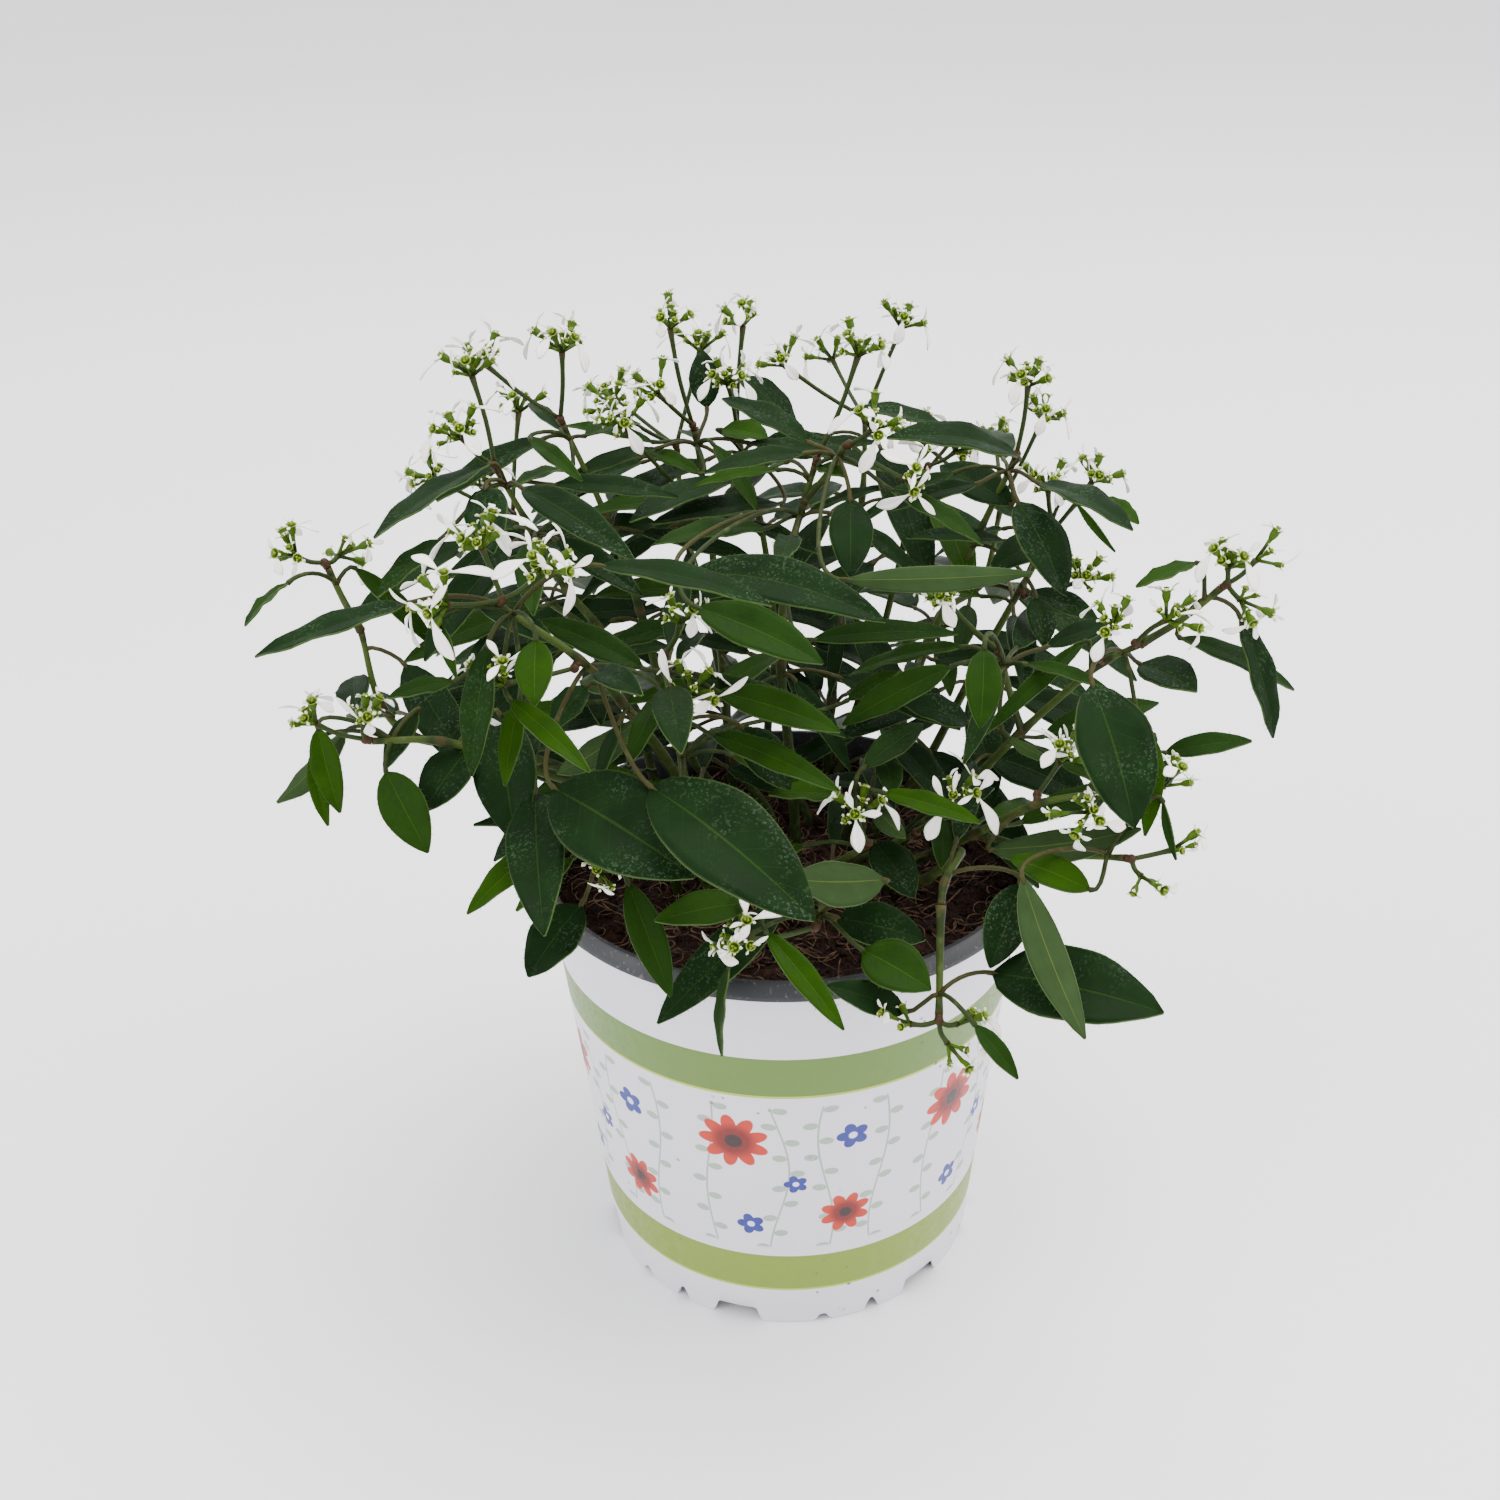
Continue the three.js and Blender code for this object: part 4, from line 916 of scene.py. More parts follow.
            spray(1, head((680, 622, -34), 3, bract=6), fork=(664, 660, -34)),
        ],
        leaves=[
            leaf((718, 692, -44), (840, 732, -56), 7.8, young_and_backlit=0.65),
            leaf((742, 728, -32), (790, 790, -40), 9.2),
            leaf((848, 700, -14), (899, 671, -16), 4, young_and_backlit=0.6),
        ],
    ),
    shoot(
        "top_left",
        foot=(-3, 20),
        stem=[(735, 760, 28), (720, 640, 34), (708, 510, 38), (694, 430, 38)],
        sprays=[
            spray(3, head((670, 328, 36), 3, bract=5), head((658, 394, 30), 3, bract=6)),
            spray(2, head((624, 428, 22), 4, bract=8)),
        ],
        leaves=[
            leaf((707, 408, 42), (702, 350, 50), 7.5),
            leaf((732, 479, 26), (630, 522, -2), 9, arch=1.5),
            leaf((700, 474, 26), (640, 449, 38), 4.4),
        ],
    ),
    shoot(
        "top_mid",
        foot=(6, 22),
        stem=[(770, 760, 36), (775, 640, 44), (760, 520, 48), (738, 440, 50)],
        sprays=[
            spray(3, head((743, 326, 50), 3, bract=7), head((728, 384, 44), 4, bract=8)),
        ],
        leaves=[
            leaf((739, 378, 52), (797, 426, 50), 10),
            leaf((762, 444, 44), (839, 452, 40), 8, roll=25),
            leaf((780, 504, 30), (652, 524, 6), 9, arch=1.5),
            leaf((722, 430, 38), (768, 438, 32), 8.5, young_and_backlit=0.6),
        ],
    ),
    shoot(
        "top_right",
        foot=(14, 24),
        bare=(1,),
        stem=[(840, 760, 38), (880, 640, 46), (905, 540, 50), (925, 470, 50)],
        sprays=[
            spray(3, head((955, 452, 48), 3, bract=6)),
        ],
        leaves=[
            leaf((949, 432, 44), (850, 410, 40), 8, arch=2, roll=5),
            leaf((958, 480, 42), (1020, 520, 40), 8),
        ],
    ),
]

# Four arching shoots at the back, which the photograph does not show: turn from +X in degrees, reach and
# height in millimetres, and bare joints
FAR_SHOOTS = [
    ("back_right", 44, 96, 178, (3,)),
    ("back_mid_right", 72, 92, 196, ()),
    ("back_mid_left", 110, 92, 190, ()),
    ("back_left", 146, 96, 182, ()),
]


def round_pot(turn, radius, height):
    """A place round the pot's axis, from degrees and millimetres"""
    angle = math.radians(turn)
    return Vector((radius * math.cos(angle), radius * math.sin(angle), height)) * MM


for name, turn, reach, top, bare in FAR_SHOOTS:
    SHOOTS.append(
        shoot(
            name,
            foot=(round_pot(turn, 38, 0) / MM).xy,
            bare=bare,
            stem=[
                round_pot(turn, 42, 128),
                round_pot(turn, 56, 152),
                round_pot(turn, 72, top - 22),
                round_pot(turn, reach - 18, top - 4),
            ],
            sprays=[
                spray(
                    3,
                    head(round_pot(turn - 6, reach - 14, top + 20), 4, bract=7),
                    head(round_pot(turn + 8, reach - 4, top + 8), 3),
                    head(round_pot(turn + 16, reach - 24, top + 12), 3, bract=7),
                ),
            ],
            leaves=[],
        )
    )


def settled(place):
    """A place in metres, which may be written as seen"""
    return place if isinstance(place, Vector) else seen(place)


def smooth_place(points, share):
    """A place along a smooth curve through points, from 0 at the first to 1 at the last"""
    share = min(max(share, 0), 1) * (len(points) - 1)
    span = min(int(share), len(points) - 2)
    weight = share - span
    first, second = points[span], points[span + 1]
    before = points[span - 1] if span > 0 else first * 2 - second
    after = points[span + 2] if span + 2 < len(points) else second * 2 - first
    spans = ((before, first), (first, second), (second, after))
    near, middle, far = (math.sqrt((to - start).length) for start, to in spans)
    leaving = (first - before) * (middle / near) - (second - before) * (middle / (near + middle)) + second - first
    arriving = second - first - (after - first) * (middle / (middle + far)) + (after - second) * (middle / far)
    bend = (second - first) * 3 - leaving * 2 - arriving
    twist = (first - second) * 2 + leaving + arriving
    return first + leaving * weight + bend * weight**2 + twist * weight**3


def smooth_way(points, share):
    ahead, behind = smooth_place(points, min(share + 0.0001, 1)), smooth_place(points, max(share - 0.0001, 0))
    return (ahead - behind).normalized()


def stem_tube(shape, points, joints, radii, bright):
    """A ribbed stem through points, swollen and reddish at its joints, and a brighter green higher up"""
    length = sum((second - first).length for first, second in zip(points, points[1:]))
    count = max(3, round(length / STEM_STEP))
    path, thick, tones = [], [], []
    for step in range(count + 1):
        share = step / count
        place = smooth_place(points, share)
        far = min((place - joint).length for joint in joints)
        swelling = JOINT_SWELLING * math.exp(-((far / JOINT_LENGTH) ** 2))
        path.append(place)
        thick.append((radii[0] + (radii[1] - radii[0]) * share) * (1 + swelling))
        tones.append(-bright * share + (JOINT_TONE + bright * share) * math.exp(-((far / STAIN_LENGTH) ** 2)))
    tube(shape, path, thick, STEM_SIDES, tones=tones, ridges=[STEM_RIDGE] * (count + 1))


def own_tone(tree):
    """The tone that each point of the mesh carries"""
    return Field(tree, "ShaderNodeAttribute", {"attribute_name": "tone"}, output="Fac")


def stem_paint(tree):
    tone = own_tone(tree)
    streaks = cloudy(tree, 420.0, 3.0)
    green = blended(streaks, colour(22, 32, 8), colour(44, 56, 20))
    green = blended(tone.rise(-0.8, -0.1, 1.0, 0.0), green, colour(58, 74, 24))
    paint = blended(tone.rise(0.15, 0.5), green, colour(52, 48, 20))
    paint = blended(tone.rise(0.5, 0.95), paint, colour(58, 34, 17))
    return {
        "Base Color": blended(streaks.rise(0.5, 0.8) * 0.35, paint, colour(84, 92, 60)),
        "Roughness": streaks.rise(0.3, 0.7, 0.5, 0.65),
        "Normal": bumps(cloudy(tree, 1500.0), 0.1 * MM, 0.5),
    }


stem_green = finish("stem", stem_paint, Specular_IOR_Level=0.12)
for grown in SHOOTS:
    joints = [settled(place) for place in grown.stem]
    grown.path = [grown.foot + UP * (SOIL_TOP - STEM_DEPTH), grown.foot + UP * (SOIL_TOP + STEM_CLEAR), *joints]
    grown.shape = layered()
    stem_tube(grown.shape, grown.path, joints, (STEM_RADIUS, STEM_TIP_RADIUS), 0.7)
    grown.joints = []
    for index, point in enumerate(joints):
        share = (index + 2) / (len(grown.path) - 1)
        bud = point + (grown.path[index + 1] - point).normalized() * BUD_BELOW
        thick = STEM_RADIUS + (STEM_TIP_RADIUS - STEM_RADIUS) * share
        along = smooth_way(grown.path, share)
        grown.joints.append(SimpleNamespace(point=point, bud=bud, along=along, thick=thick, leaves=0))
    for bunch in grown.sprays:
        bunch.seat = bunch.joint
        if bunch.fork:
            start, end = grown.joints[bunch.joint].point, settled(bunch.fork)
            along = (end - start).normalized()
            middle = (start + end) / 2 - along.cross(UP).cross(along) * (end - start).length * 0.05
            stem_tube(grown.shape, [start, middle, end], [start, end], (BRANCH_RADIUS, PEDUNCLE_RADIUS), 0.9)
            bunch.seat = len(grown.joints)
            bud = end - along * BUD_BELOW
            grown.joints.append(SimpleNamespace(point=end, bud=bud, along=along, thick=PEDUNCLE_RADIUS, leaves=0))


# The sprays
# From its joint a spray fans out into thin stalks. Each ends in a head of small goblet-shaped green
# cups with a pale frilled rim, and thin white bracts that stand out round them.

KNOB_RADIUS = 1 * MM
CUP_HEIGHT = 2.8 * MM
# A cup from its base over its rim and down inside: height and radius in millimetres, tone, and frill
CUP_OUTLINE = [
    (-1.6, 0.36, -0.8, 0), (-1.2, 0.52, -0.6, 0), (-0.6, 0.78, -0.6, 0), (0.1, 0.93, -0.6, 0),
    (0.7, 0.9, -0.4, 0), (1.05, 1.04, 0.2, 0.1), (1.3, 1.24, 0.72, 0.22), (1.2, 0.98, 0.3, 0.12),
    (0.8, 0.64, -0.1, 0), (0.6, 0.1, -0.3, 0),
]
STAMEN_TURNS = (0.3, 2.4, 4.5)
BRACT_THICKNESS = 0.22 * MM
BRACT_CLEAR = 1 * MM
HOLD = 0.12 * MM
INNER_TRIES = 24
INNER_PER_CUP = 1.5
INNER_APART = 2.1 * MM


def vary(count):
    """Spread evenly between 0 and 1 as the count goes up"""
    return (count * 0.618034) % 1


def flat_to(axis, facing):
    return (facing - axis * facing.dot(axis)).normalized()


def solid_tree(node):
    """The surface of a solid, to find what it holds"""
    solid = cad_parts[node]
    corners = [solid.matrix_world @ vert.co for vert in solid.data.vertices]
    return BVHTree.FromPolygons(corners, [list(face.vertices) for face in solid.data.polygons])


def holds(tree, place, within):
    return tree.find_nearest(place)[3] < within


stem_trees = [solid_tree(f"stem_{grown.name}") for grown in SHOOTS]


def is_clear(start, end):
    """Whether a thin bract keeps clear of the stems and leaves"""
    spots = [start.lerp(end, share) for share in (0.35, 0.7, 1)]
    return not any(tree.find_nearest(spot, BRACT_CLEAR)[0] for tree in stem_trees for spot in spots)


def blade(shape, across, along, tone, rule):
    """A sheet bent out of a grid by a rule on how far across it is, from -1 to 1, and along it, from 0 to 1"""
    sheet = bmesh.ops.create_grid(shape, x_segments=across, y_segments=along, size=1)["verts"]
    own_map = shape.loops.layers.uv["own_map"]
    shade = shape.verts.layers.float["tone"]
    for vert in sheet:
        for loop in vert.link_loops:
            loop[own_map].uv = (vert.co.x / 2 + 0.5, vert.co.y / 2 + 0.5)
    for vert in sheet:
        vert[shade] = tone
        vert.co = rule(vert.co.x, vert.co.y / 2 + 0.5)


def add_bract(shape, start, end, upper, width, cupped, rows=9, tone=0.0):
    """A white bract, narrow where it leaves the cup and widest past its middle, with a blunt tip"""
    along = (end - start).normalized()
    length = (end - start).length
    upper = flat_to(along, upper)
    sideways = along.cross(upper)

    def rule(across, share):
        half = width / 2 * max(math.sin(math.pi * share**1.6) ** 0.8 if 0 < share < 1 else 0, 0.1 + 0.05 * share)
        lift = cupped * length * math.sin(math.pi * share) + 0.25 * half * across**2
        return start + along * length * share + sideways * half * across + upper * lift

    blade(shape, 4 if rows > 4 else 2, rows, tone, rule)


def add_cup(shape, centre, out, size):
    """A goblet-shaped cup that opens outwards, with three stamens in it"""
    heights, radii, tones, frill = zip(*CUP_OUTLINE)
    path = [centre + out * height * MM * size for height in heights]
    tube(shape, path, [radius * MM * size for radius in radii], 10, tones=tones, ridges=frill, axis=out)
    for turn in STAMEN_TURNS:
        aside = out.orthogonal().normalized()
        aside.rotate(Quaternion(out, turn))
        tip = centre + (out * 1.9 + aside * 0.45) * MM * size
        tube(shape, [centre + out * 0.6 * MM, tip], [0.2 * MM, 0.27 * MM], 5, tone=0.35)


def add_frill(shape, centre, out, size, chance):
    """The short pale scales that stand up from a cup's rim"""
    turn = chance.uniform(0, math.tau)
    for _ in range(3):
        turn += chance.uniform(1.6, 2.5)
        aside = out.orthogonal().normalized()
        aside.rotate(Quaternion(out, turn))
        root = centre + (out * 1.1 + aside * 1.05) * MM * size
        tip = root + (aside + out * chance.uniform(-0.1, 1.1)).normalized() * chance.uniform(0.7, 1.4) * MM * size
        add_bract(shape, root, tip, out, chance.uniform(0.6, 0.95) * MM * size, 0.1, rows=3, tone=1.0)


def spray_paint(tree):
    tone = own_tone(tree)
    mottle = cloudy(tree, 900.0, 3.0)
    stalk = blended(mottle, colour(24, 38, 6), colour(44, 60, 14))
    cup = blended(mottle, colour(38, 62, 0), colour(66, 92, 4))
    green = blended(tone.rise(-1.6, -1.1), stalk, cup)
    green = blended(tone.rise(-2.9, -2.3), colour(54, 36, 18), green)
    green = blended(tone.rise(0.1, 0.45), green, colour(112, 132, 30))
    return {
        "Base Color": blended(tone.rise(0.5, 0.95), green, colour(226, 232, 200)),
        "Roughness": mottle.rise(0.3, 0.7, 0.4, 0.55),
        "Normal": bumps(mottle, 0.08 * MM, 0.5),
    }


def on_blade(tree):
    """How far from a blade's midline a place is, up to 0.5, and how far along it"""
    own_map = Field(tree, "ShaderNodeTexCoord", output="UV")
    return abs(part_of(own_map, "X") - 0.5), part_of(own_map, "Y")


def bract_paint(tree):
    across, along = on_blade(tree)
    # A darker midline for the vein, and darker margins that are painted shade along the bract's edges
    vein_and_edge_shade = across.rise(0.0, 0.1, 1.0, 0.0) * 0.3 + across.rise(0.36, 0.5) * 0.45
    mottle = cloudy(tree, 500.0)
    paint = blended(mottle, colour(238, 233, 226), colour(250, 247, 240))
    paint = blended(along.rise(0.0, 0.3, 0.6, 0.0), paint, colour(190, 206, 150))
    paint = blended(own_tone(tree) * mottle.rise(0.3, 0.7, 0.25, 0.85), paint, colour(204, 214, 150))
    return {
        "Base Color": blended(vein_and_edge_shade, paint, colour(188, 196, 176)),
        "Roughness": mottle.rise(0.3, 0.7, 0.5, 0.65),
        "Normal": bumps(cloudy(tree, 700.0), 0.1 * MM, 0.4),
    }


def add_outer_cups(green, white, tree, flowers, hub, rise, chance):
    """A head's ring of cups on short stalks, where the solid holds them, with broad and slim bracts"""
    side = Vector((1, 0.3, 0)).cross(rise).normalized()
    side.rotate(Quaternion(rise, math.radians(61 * head_count)))
    grown_cups = []
    for cup in range(flowers.cups):
        lean = math.radians(32 + 30 * vary(cup * 2 + head_count)) if flowers.cups > 1 else 0
        aside = side.copy()
        aside.rotate(Quaternion(rise, math.radians(30 + 90 * cup + 30 * vary(cup + head_count))))
        out = rise * math.cos(lean) + aside * math.sin(lean)
        centre = hub + out * (4.5 + 2.5 * vary(cup + head_count)) * MM
        reach = flowers.bract * (0.8 + 0.35 * vary(cup * 5 + 2)) * MM
        tilt = 0.35 - 0.7 * vary(cup + head_count * 2)
        if not holds(tree, centre + out * CUP_HEIGHT / 2, HOLD):
            continue
        grown_cups.append(centre)
        stalk = [hub, hub.lerp(centre, 0.5), centre - out * 1.3 * MM]
        tube(green, stalk, [0.5 * MM, 0.4 * MM, 0.5 * MM], 8, tones=[-2.6, -1.6, -0.7])
        add_cup(green, centre, out, 1.0)
        add_frill(white, centre, out, 1.0, chance)
        outward = flat_to(out, aside)
        way = (outward + out * tilt).normalized()
        lip = centre + out * 1.0 * MM
        if holds(tree, centre + way * reach, HOLD):
            width = 1.9 * MM + reach * 0.13
            add_bract(white, lip + outward * 0.9 * MM, centre + way * reach, out, width, 0.06)
        for turn in (chance.uniform(80, 130), chance.uniform(190, 270)):
            if chance.random() < 0.25:
                continue
            slim = outward.copy()
            slim.rotate(Quaternion(out, math.radians(turn)))
            length = reach * chance.uniform(0.4, 0.75)
            end = lip + slim * length + out * length * chance.uniform(-0.2, 0.7)
            width = length * chance.uniform(0.16, 0.34)
            if is_clear(lip, end):
                add_bract(white, lip + slim * 0.9 * MM, end, out, width, 0.08)
    return grown_cups


def add_inner_cups(green, white, flowers, hub, rise, grown_cups, chance):
    """Smaller cups that fill in a head where there is room between the others"""
    centres = []
    for _ in range(INNER_TRIES):
        if len(centres) > INNER_PER_CUP * flowers.cups:
            break
        way = flat_to(rise, Vector([chance.uniform(-1, 1) for _ in range(3)])) + rise * chance.uniform(0.2, 2.5)
        way.normalize()
        size = chance.uniform(0.6, 0.9)
        centre = hub + way * chance.uniform(2.4, 4.4) * MM
        if any((centre - other).length < INNER_APART for other in centres + grown_cups):
            continue
        centres.append(centre)
        tube(green, [hub, centre - way * 1.2 * MM * size], [0.42 * MM, 0.36 * MM], 6, tone=-0.3)
        add_cup(green, centre, way, size)
        add_frill(white, centre, way, size, chance)
        aside = flat_to(way, centre - hub + Vector((chance.uniform(-1, 1), chance.uniform(-1, 1), 0)) * MM)
        aside = (way.orthogonal().normalized() if aside.length < 0.5 else aside)
        aside.rotate(Quaternion(way, chance.uniform(0, 6)))
        if chance.random() < 0.6:
            length = chance.uniform(3, 7) * MM
            start = centre + way * 0.9 * MM * size
            end = start + (aside + way * chance.uniform(-0.2, 0.8)).normalized() * length
            width = chance.uniform(0.4, 1.2) * MM
            if is_clear(start, end):
                add_bract(white, start, end, way, width, 0.08)


spray_green = finish("flower_cups", spray_paint, Specular_IOR_Level=0.15)
bract_white = finish("bracts", bract_paint, Specular_IOR_Level=0.3)
head_count = 0
for grown in SHOOTS:
    for number, bunch in enumerate(grown.sprays, 1):
        node = f"spray_{grown.name}_{number}"
        tree = solid_tree(node)
        chance = random.Random(node)
        green, white = layered(), layered()
        joint = grown.joints[bunch.seat]
        at_end = bool(bunch.fork) or (bunch.joint == len(grown.stem) - 1 and number == 1)
        hubs = [settled(flowers.place) for flowers in bunch.heads]
        aim = (sum(hubs, Vector()) / len(hubs) - joint.point).normalized()
        off = (aim + joint.along).normalized() if at_end else flat_to(joint.along, aim)
        knob = joint.point + off * (KNOB_RADIUS + GAP + (0 if at_end else joint.thick))
        bmesh.ops.create_uvsphere(
            green, u_segments=10, v_segments=7, radius=KNOB_RADIUS * 1.05, matrix=Matrix.Translation(knob),
        )
        for vert in green.verts:
            vert[green.verts.layers.float["tone"]] = -3.0
        tube(green, [joint.point, knob], [0.85 * MM, 0.9 * MM], 10, tone=-2.8)
        for flowers, hub in zip(bunch.heads, hubs):
            head_count += 1
            way = (hub - knob).normalized()
            sag = flat_to(way, Vector((chance.uniform(-1, 1), chance.uniform(-1, 1), -1))) * 0.6 * MM
            stalk = [smooth_place([knob, (knob + hub) / 2 + sag, hub], share / 8) for share in range(9)]
            tube(
                green, stalk, [0.55 * MM] * 7 + [0.62 * MM, 0.8 * MM], 8,
                tones=[-3.0, -2.4] + [-2.0] * 5 + [-2.2, -2.8],
            )
            rise = (way + UP * 0.6).normalized()
            grown_cups = add_outer_cups(green, white, tree, flowers, hub, rise, chance)
            add_inner_cups(green, white, flowers, hub, rise, grown_cups, chance)
        piece(f"flowers_{grown.name}_{number}", green, [spray_green], node)
        if len(white.verts):
            bracts = piece(f"bracts_{grown.name}_{number}", white, [bract_white], node)
            sheet = bracts.modifiers.new("thickness", "SOLIDIFY")
            sheet.thickness = BRACT_THICKNESS
            sheet.offset = 0
        else:
            white.free()


# The leaves
# Thin blades on olive stalks, folded a little along a pale midrib. Grown ones are dark green with a
# pale speckle and young ones bright green, partly their own lighter green and partly painted glow of light
# shining through them; the underside is grey-green, and fine hairs line the edge.

FOLD = 0.15
BLADE_THICKNESS = 0.42 * MM
PETIOLE_RADIUS = 0.5 * MM
HAIR_STEP = 1.5 * MM
FACING = Vector((0, -0.45, 0.9))
NUDGES = [0, 4, -4, 8, -8, 12, -12, 16, -16]
SWINGS = [0, 40, -40, 80, -80, 120, -120, 160]
REACH_X, REACH_Y, REACH_DOWN = 107 * MM, 96 * MM, 40 * MM
FILL_LEAVES_UNSEEN = 2
FILL_WIDTH = 0.28
LONG_LEAF = 42 * MM
SHORT_LEAF = 17 * MM


def leaf_fit(entry, base, tip, joint, width):
    """Where a leaf's stalk and midrib run: the points that bend each of them, and the way its face looks"""
    axis = (tip - base).normalized()
    reach = (base - joint.bud).length
    face = flat_to(axis, FACING + Vector((tip.x, tip.y, 0)).normalized() * 0.2)
    face.rotate(Quaternion(axis, math.radians(entry.roll)))
    if entry.under:
        face.negate()
    leaving = (base - joint.bud).normalized() * 0.5 + UP * 0.5
    arch = (tip - base).length * 0.06 if entry.arch is None else entry.arch * MM
    stalk = [joint.bud, joint.bud + leaving * reach * 0.45, base - axis * reach * 0.3, base]
    rib = [base, (base + tip) / 2 + face * arch * 2, tip]
    return SimpleNamespace(stalk=stalk, rib=rib, face=face, width=width, young_and_backlit=entry.young_and_backlit)


def bend(points, share):
    """A place on the curve that its first and last point end and the others pull"""
    while len(points) > 1:
        points = [first.lerp(second, share) for first, second in zip(points, points[1:])]
    return points[0]


def bend_way(points, share):
    return (bend(points, min(share + 0.001, 1)) - bend(points, max(share - 0.001, 0))).normalized()


def is_grown(tree, fit):
    """Whether the solid holds this leaf, by its tip and a place on its midrib where facets of the solid meet"""
    length = (fit.rib[2] - fit.rib[0]).length
    middle = 0.42 if length > LONG_LEAF else 0.65 if length > SHORT_LEAF else 0.45
    return holds(tree, fit.rib[2], 0.15 * MM) and holds(tree, bend(fit.rib, middle), 0.7 * MM)


def add_leaf(shape, stems, fit, chance):
    """A leaf's blade in one mesh, and its stalk and the hairs along its edge in another"""
    length = (fit.rib[2] - fit.rib[0]).length
    ripple, phase = chance.uniform(0.1, 0.4) * MM, chance.uniform(0, 6)
    # How young the leaf is, which sets how much its green is brightened: partly its own lighter green, partly
    # painted glow of light shining through it
    young_and_backlit = min(max((8 * MM - fit.width) / (6 * MM), 0), 0.5) if fit.young_and_backlit is None else fit.young_and_backlit
    young_and_backlit = min(max(young_and_backlit + chance.uniform(-0.12, 0.12), 0), 1)

    def rule(across, share):
        along = bend_way(fit.rib, share)
        upper = flat_to(along, fit.face)
        half = max(fit.width / 2 * math.sin(math.pi * share**0.87) ** 0.74 if share < 1 else 0, 0.22 * MM)
        wave = ripple * math.sin(share * 17 + phase + (2 if across > 0 else 0)) * across**2 * min(1, half / (2 * MM))
        groove = 0.25 * MM * min(1, half / (3 * MM)) * math.exp(-((across * half / (0.7 * MM)) ** 2))
        lift = FOLD * half * abs(across) ** 1.3 + wave - groove
        return bend(fit.rib, share) + along.cross(upper) * half * across + upper * lift

    rows = 18 if length > 39 * MM else 13 if length > 17 * MM else 8
    blade(shape, 8, rows, young_and_backlit, rule)
    stalk_length = (fit.stalk[3] - fit.stalk[0]).length
    steps = max(4, round(stalk_length / (1.8 * MM)))
    path = [bend(fit.stalk, step / steps) for step in range(steps + 1)] + [rule(0, 0.04)]
    radii = [PETIOLE_RADIUS * (1.25 if step in (0, steps) else 1) for step in range(steps + 1)] + [0.3 * MM]
    tone = 0.42 - young_and_backlit * 0.5
    tube(stems, path, radii, 8, tones=[0.7] + [tone] * (steps + 1))
    hairs = round(length / HAIR_STEP)
    for side in (-1, 1):
        for hair in range(2, hairs - 1):
            share = (hair + chance.uniform(-0.3, 0.3)) / hairs
            root = rule(side * 0.99, share)
            away = (root - rule(side * 0.8, share)).normalized()
            away += bend_way(fit.rib, share) * chance.uniform(0.2, 0.9) + fit.face * chance.uniform(-0.3, 0.5)
            end = root + away.normalized() * chance.uniform(0.5, 0.9) * MM
            tube(stems, [root - away.normalized() * 0.1 * MM, end], [0.06 * MM, 0.02 * MM], 3, tone=-2.0)


def leaf_marks(tree):
    """How near a place is to the midrib, and to a side vein that slants from it to the edge"""
    across, along = on_blade(tree)
    midrib = across.rise(0.006, 0.022, 1.0, 0.0)
    vein = abs(((along - across * 0.42 + cloudy(tree, 90.0) * 0.03) * 28).wave()).rise(0.0, 0.16, 1.0, 0.0)
    edge = across.rise(0.475, 0.495)
    return midrib, vein * across.rise(0.03, 0.42, 1.0, 0.2), edge


def upper_paint(tree):
    young_and_backlit = own_tone(tree)
    midrib, vein, edge = leaf_marks(tree)
    mottle = cloudy(tree, 150.0, 4.0)
    dark = blended(mottle.rise(0.2, 0.8), colour(8, 26, 5), colour(15, 36, 10))
    # Young leaves are painted brighter green, partly their own colour and partly painted glow of light shining
    # through them
    paint = blended(young_and_backlit.rise(0.1, 0.9), dark, blended(mottle, colour(18, 43, 0), colour(37, 66, 0)))
    dots = Field(tree, "ShaderNodeTexVoronoi", {}, {"Vector": places(tree), "Scale": 1100.0})
    grains = cloudy(tree, 1500.0, 3.0).rise(0.52, 0.66)
    speckle = dots.rise(0.1, 0.22, 1.0, 0.0).most(grains * 0.45) * cloudy(tree, 90.0, 4.0).rise(0.42, 0.68)
    paint = blended(speckle * young_and_backlit.rise(0.1, 0.5, 0.4, 0.05), paint, colour(90, 110, 88))
    paint = blended(vein * 0.06, paint, colour(60, 92, 40))
    paint = blended(midrib * young_and_backlit.rise(0.2, 0.9, 0.16, 0.4), paint, colour(66, 96, 30))
    relief = midrib * -0.6 + vein * -0.35 + cloudy(tree, 1600.0) * 0.3
    return {
        "Base Color": blended(edge * 0.22, paint, colour(84, 106, 62)),
        "Roughness": mottle.rise(0.3, 0.7, 0.46, 0.62),
        "Normal": bumps(relief, 0.3 * MM, 0.6),
    }


def under_paint(tree):
    young_and_backlit = own_tone(tree)
    midrib, vein, edge = leaf_marks(tree)
    mottle = cloudy(tree, 160.0, 3.0)
    paint = blended(mottle.rise(0.2, 0.8), colour(36, 53, 26), colour(44, 62, 33))
    # Young leaves' undersides are painted brighter green, partly their own colour and partly painted glow of light
    # shining through them
    paint = blended(young_and_backlit.rise(0.3, 1.0) * 0.6, paint, colour(44, 78, 6))
    paint = blended(vein * 0.22, paint, colour(66, 88, 44))
    paint = blended(midrib * 0.4, paint, colour(96, 110, 46))
    return {
        "Base Color": blended(edge * 0.35, paint, colour(120, 136, 96)),
        "Roughness": mottle.rise(0.3, 0.7, 0.6, 0.75),
        "Normal": bumps(midrib * 0.8 + vein * 0.4, 0.35 * MM, 0.6),
    }


def margin_paint(tree):
    mottle = cloudy(tree, 900.0)
    return {
        "Base Color": blended(mottle, colour(34, 56, 18), colour(70, 92, 46)),
        "Roughness": mottle.rise(0.3, 0.7, 0.5, 0.7),
    }


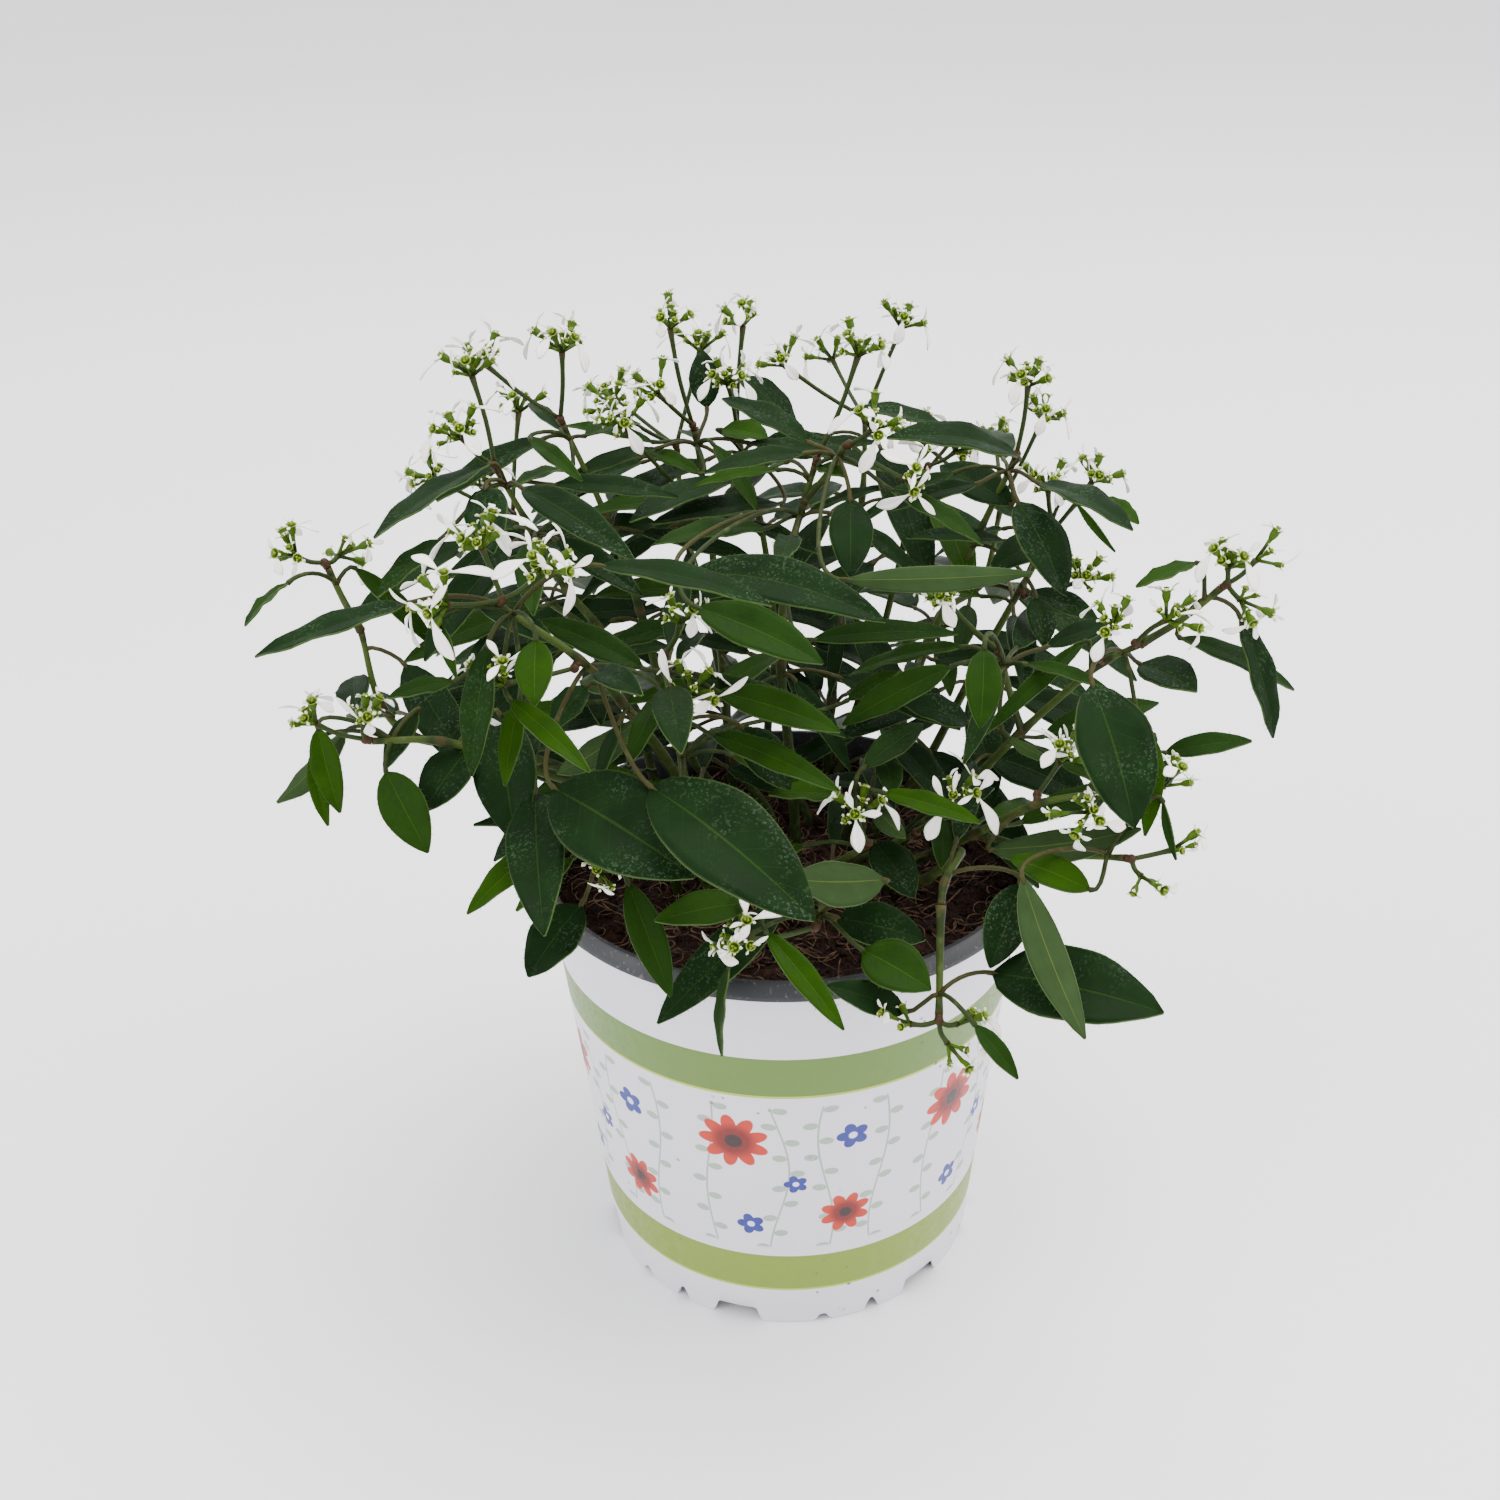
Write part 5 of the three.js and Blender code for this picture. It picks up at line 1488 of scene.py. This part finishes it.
leaf_upper = finish("leaf_upper", upper_paint, Specular_IOR_Level=0.05)
leaf_under = finish("leaf_under", under_paint, Specular_IOR_Level=0.05)
leaf_margin = finish("leaf_margin", margin_paint, Specular_IOR_Level=0.1)
plain = leaf(None, None, 0)
fill_count = 0
for grown in SHOOTS:
    grown.tree = solid_tree(f"stem_{grown.name}")
    grown.fits = []
    for entry in grown.leaves:
        for nudge in NUDGES:
            base, tip = (seen((column, row, behind + nudge)) for column, row, behind in (entry.base, entry.tip))
            joint = min(grown.joints, key=lambda joint: abs((joint.bud - base).length - 6 * MM))
            fit = leaf_fit(entry, base, tip, joint, entry.width * MM)
            if is_grown(grown.tree, fit):
                grown.fits.append(fit)
                joint.leaves += 1
                break

# A joint with no listed leaf gets one by rule, apart from the lowest; each joint of the far shoots gets two
for grown in SHOOTS:
    unseen = not grown.leaves
    for index, joint in enumerate(grown.joints):
        for _ in range((FILL_LEAVES_UNSEEN if unseen else min(index, 1)) - joint.leaves):
            fill_count += 1
            if index in grown.bare:
                continue
            outward = math.atan2(joint.point.y, joint.point.x)
            side = 1 if fill_count % 2 == 0 else -1
            length = (30 + 18 * vary(fill_count)) * MM
            for swing in SWINGS:
                turn = outward + side * math.radians(65 + swing)
                flat = Vector((math.cos(turn), math.sin(turn), 0))
                base = joint.bud + flat * (9 + 5 * vary(fill_count + 3)) * MM + UP * MM
                droop = -0.15 - 0.6 * vary(fill_count + 7)
                tip = base + (flat + UP * droop).normalized() * length
                fit = leaf_fit(plain, base, tip, joint, length * FILL_WIDTH)
                inside = abs(tip.x) < REACH_X and abs(tip.y) < REACH_Y and tip.z > REACH_DOWN
                if inside and is_grown(grown.tree, fit):
                    grown.fits.append(fit)
                    break

# Smaller leaves fill in the crown wherever they keep clear of all the rest
CROWN_LEAVES = 130
CROWN_TRIES = 6000
CROWN_BOTTOM, CROWN_FRONT_BOTTOM = 116 * MM, 150 * MM
CROWN_FRONT = -38 * MM
CROWN_BASE_REACH, CROWN_TIP_REACH = 62 * MM, 88 * MM
CLEAR_OF_SOLIDS, CLEAR_OF_LEAVES = 1.3 * MM, 3.5 * MM


def is_in_crown(base, tip):
    """Whether a leaf stays over the pot and high up, higher still at the front"""
    bottom = CROWN_FRONT_BOTTOM if tip.y < CROWN_FRONT else CROWN_BOTTOM
    return tip.z > bottom and tip.xy.length < CROWN_TIP_REACH and base.xy.length < CROWN_BASE_REACH


chance = random.Random(5)
every_tree = [solid_tree(name) for name in sorted(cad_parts) if name.startswith(("stem_", "spray_"))]
every_joint = [(grown, joint) for grown in SHOOTS for joint in grown.joints]
taken = []
crown_count = 0
for _ in range(CROWN_TRIES):
    if crown_count >= CROWN_LEAVES:
        break
    grown, joint = chance.choice(every_joint)
    turn = chance.uniform(0, math.tau)
    flat = Vector((math.cos(turn), math.sin(turn), 0))
    base = joint.bud + flat * chance.uniform(5, 13) * MM + UP * chance.uniform(-1, 3) * MM
    length = chance.uniform(18, 36) * MM
    tip = base + (flat + UP * chance.uniform(-0.7, 0.25)).normalized() * length
    fit = leaf_fit(plain, base, tip, joint, length * chance.uniform(0.17, 0.28))
    fit.young_and_backlit = chance.choice((0.0, 0.0, 0.1, 0.3, 0.6))
    if not is_in_crown(base, tip):
        continue
    spots = []
    for share in (0.05, 0.25, 0.45, 0.65, 0.85, 1):
        along = bend_way(fit.rib, share)
        sideways = along.cross(flat_to(along, fit.face)) * fit.width / 2
        spots += [bend(fit.rib, share) + sideways * across for across in (-0.9, 0, 0.9)]
    near_solids = any(tree.find_nearest(spot, CLEAR_OF_SOLIDS)[0] for tree in every_tree for spot in spots)
    if near_solids or any((spot - other).length < CLEAR_OF_LEAVES for spot in spots for other in taken):
        continue
    taken += spots
    grown.fits.append(fit)
    crown_count += 1

for grown in SHOOTS:
    chance = random.Random(grown.name)
    blades = layered()
    for fit in grown.fits:
        add_leaf(blades, grown.shape, fit, chance)
    node = f"stem_{grown.name}"
    piece(f"shoot_{grown.name}", grown.shape, [stem_green], node)
    if grown.fits:
        leaves = piece(f"leaves_{grown.name}", blades, [leaf_upper, leaf_under, leaf_margin], node)
        sheet = leaves.modifiers.new("thickness", "SOLIDIFY")
        sheet.thickness = BLADE_THICKNESS
        sheet.offset = 0
        sheet.material_offset = 1
        sheet.material_offset_rim = 2
    else:
        blades.free()
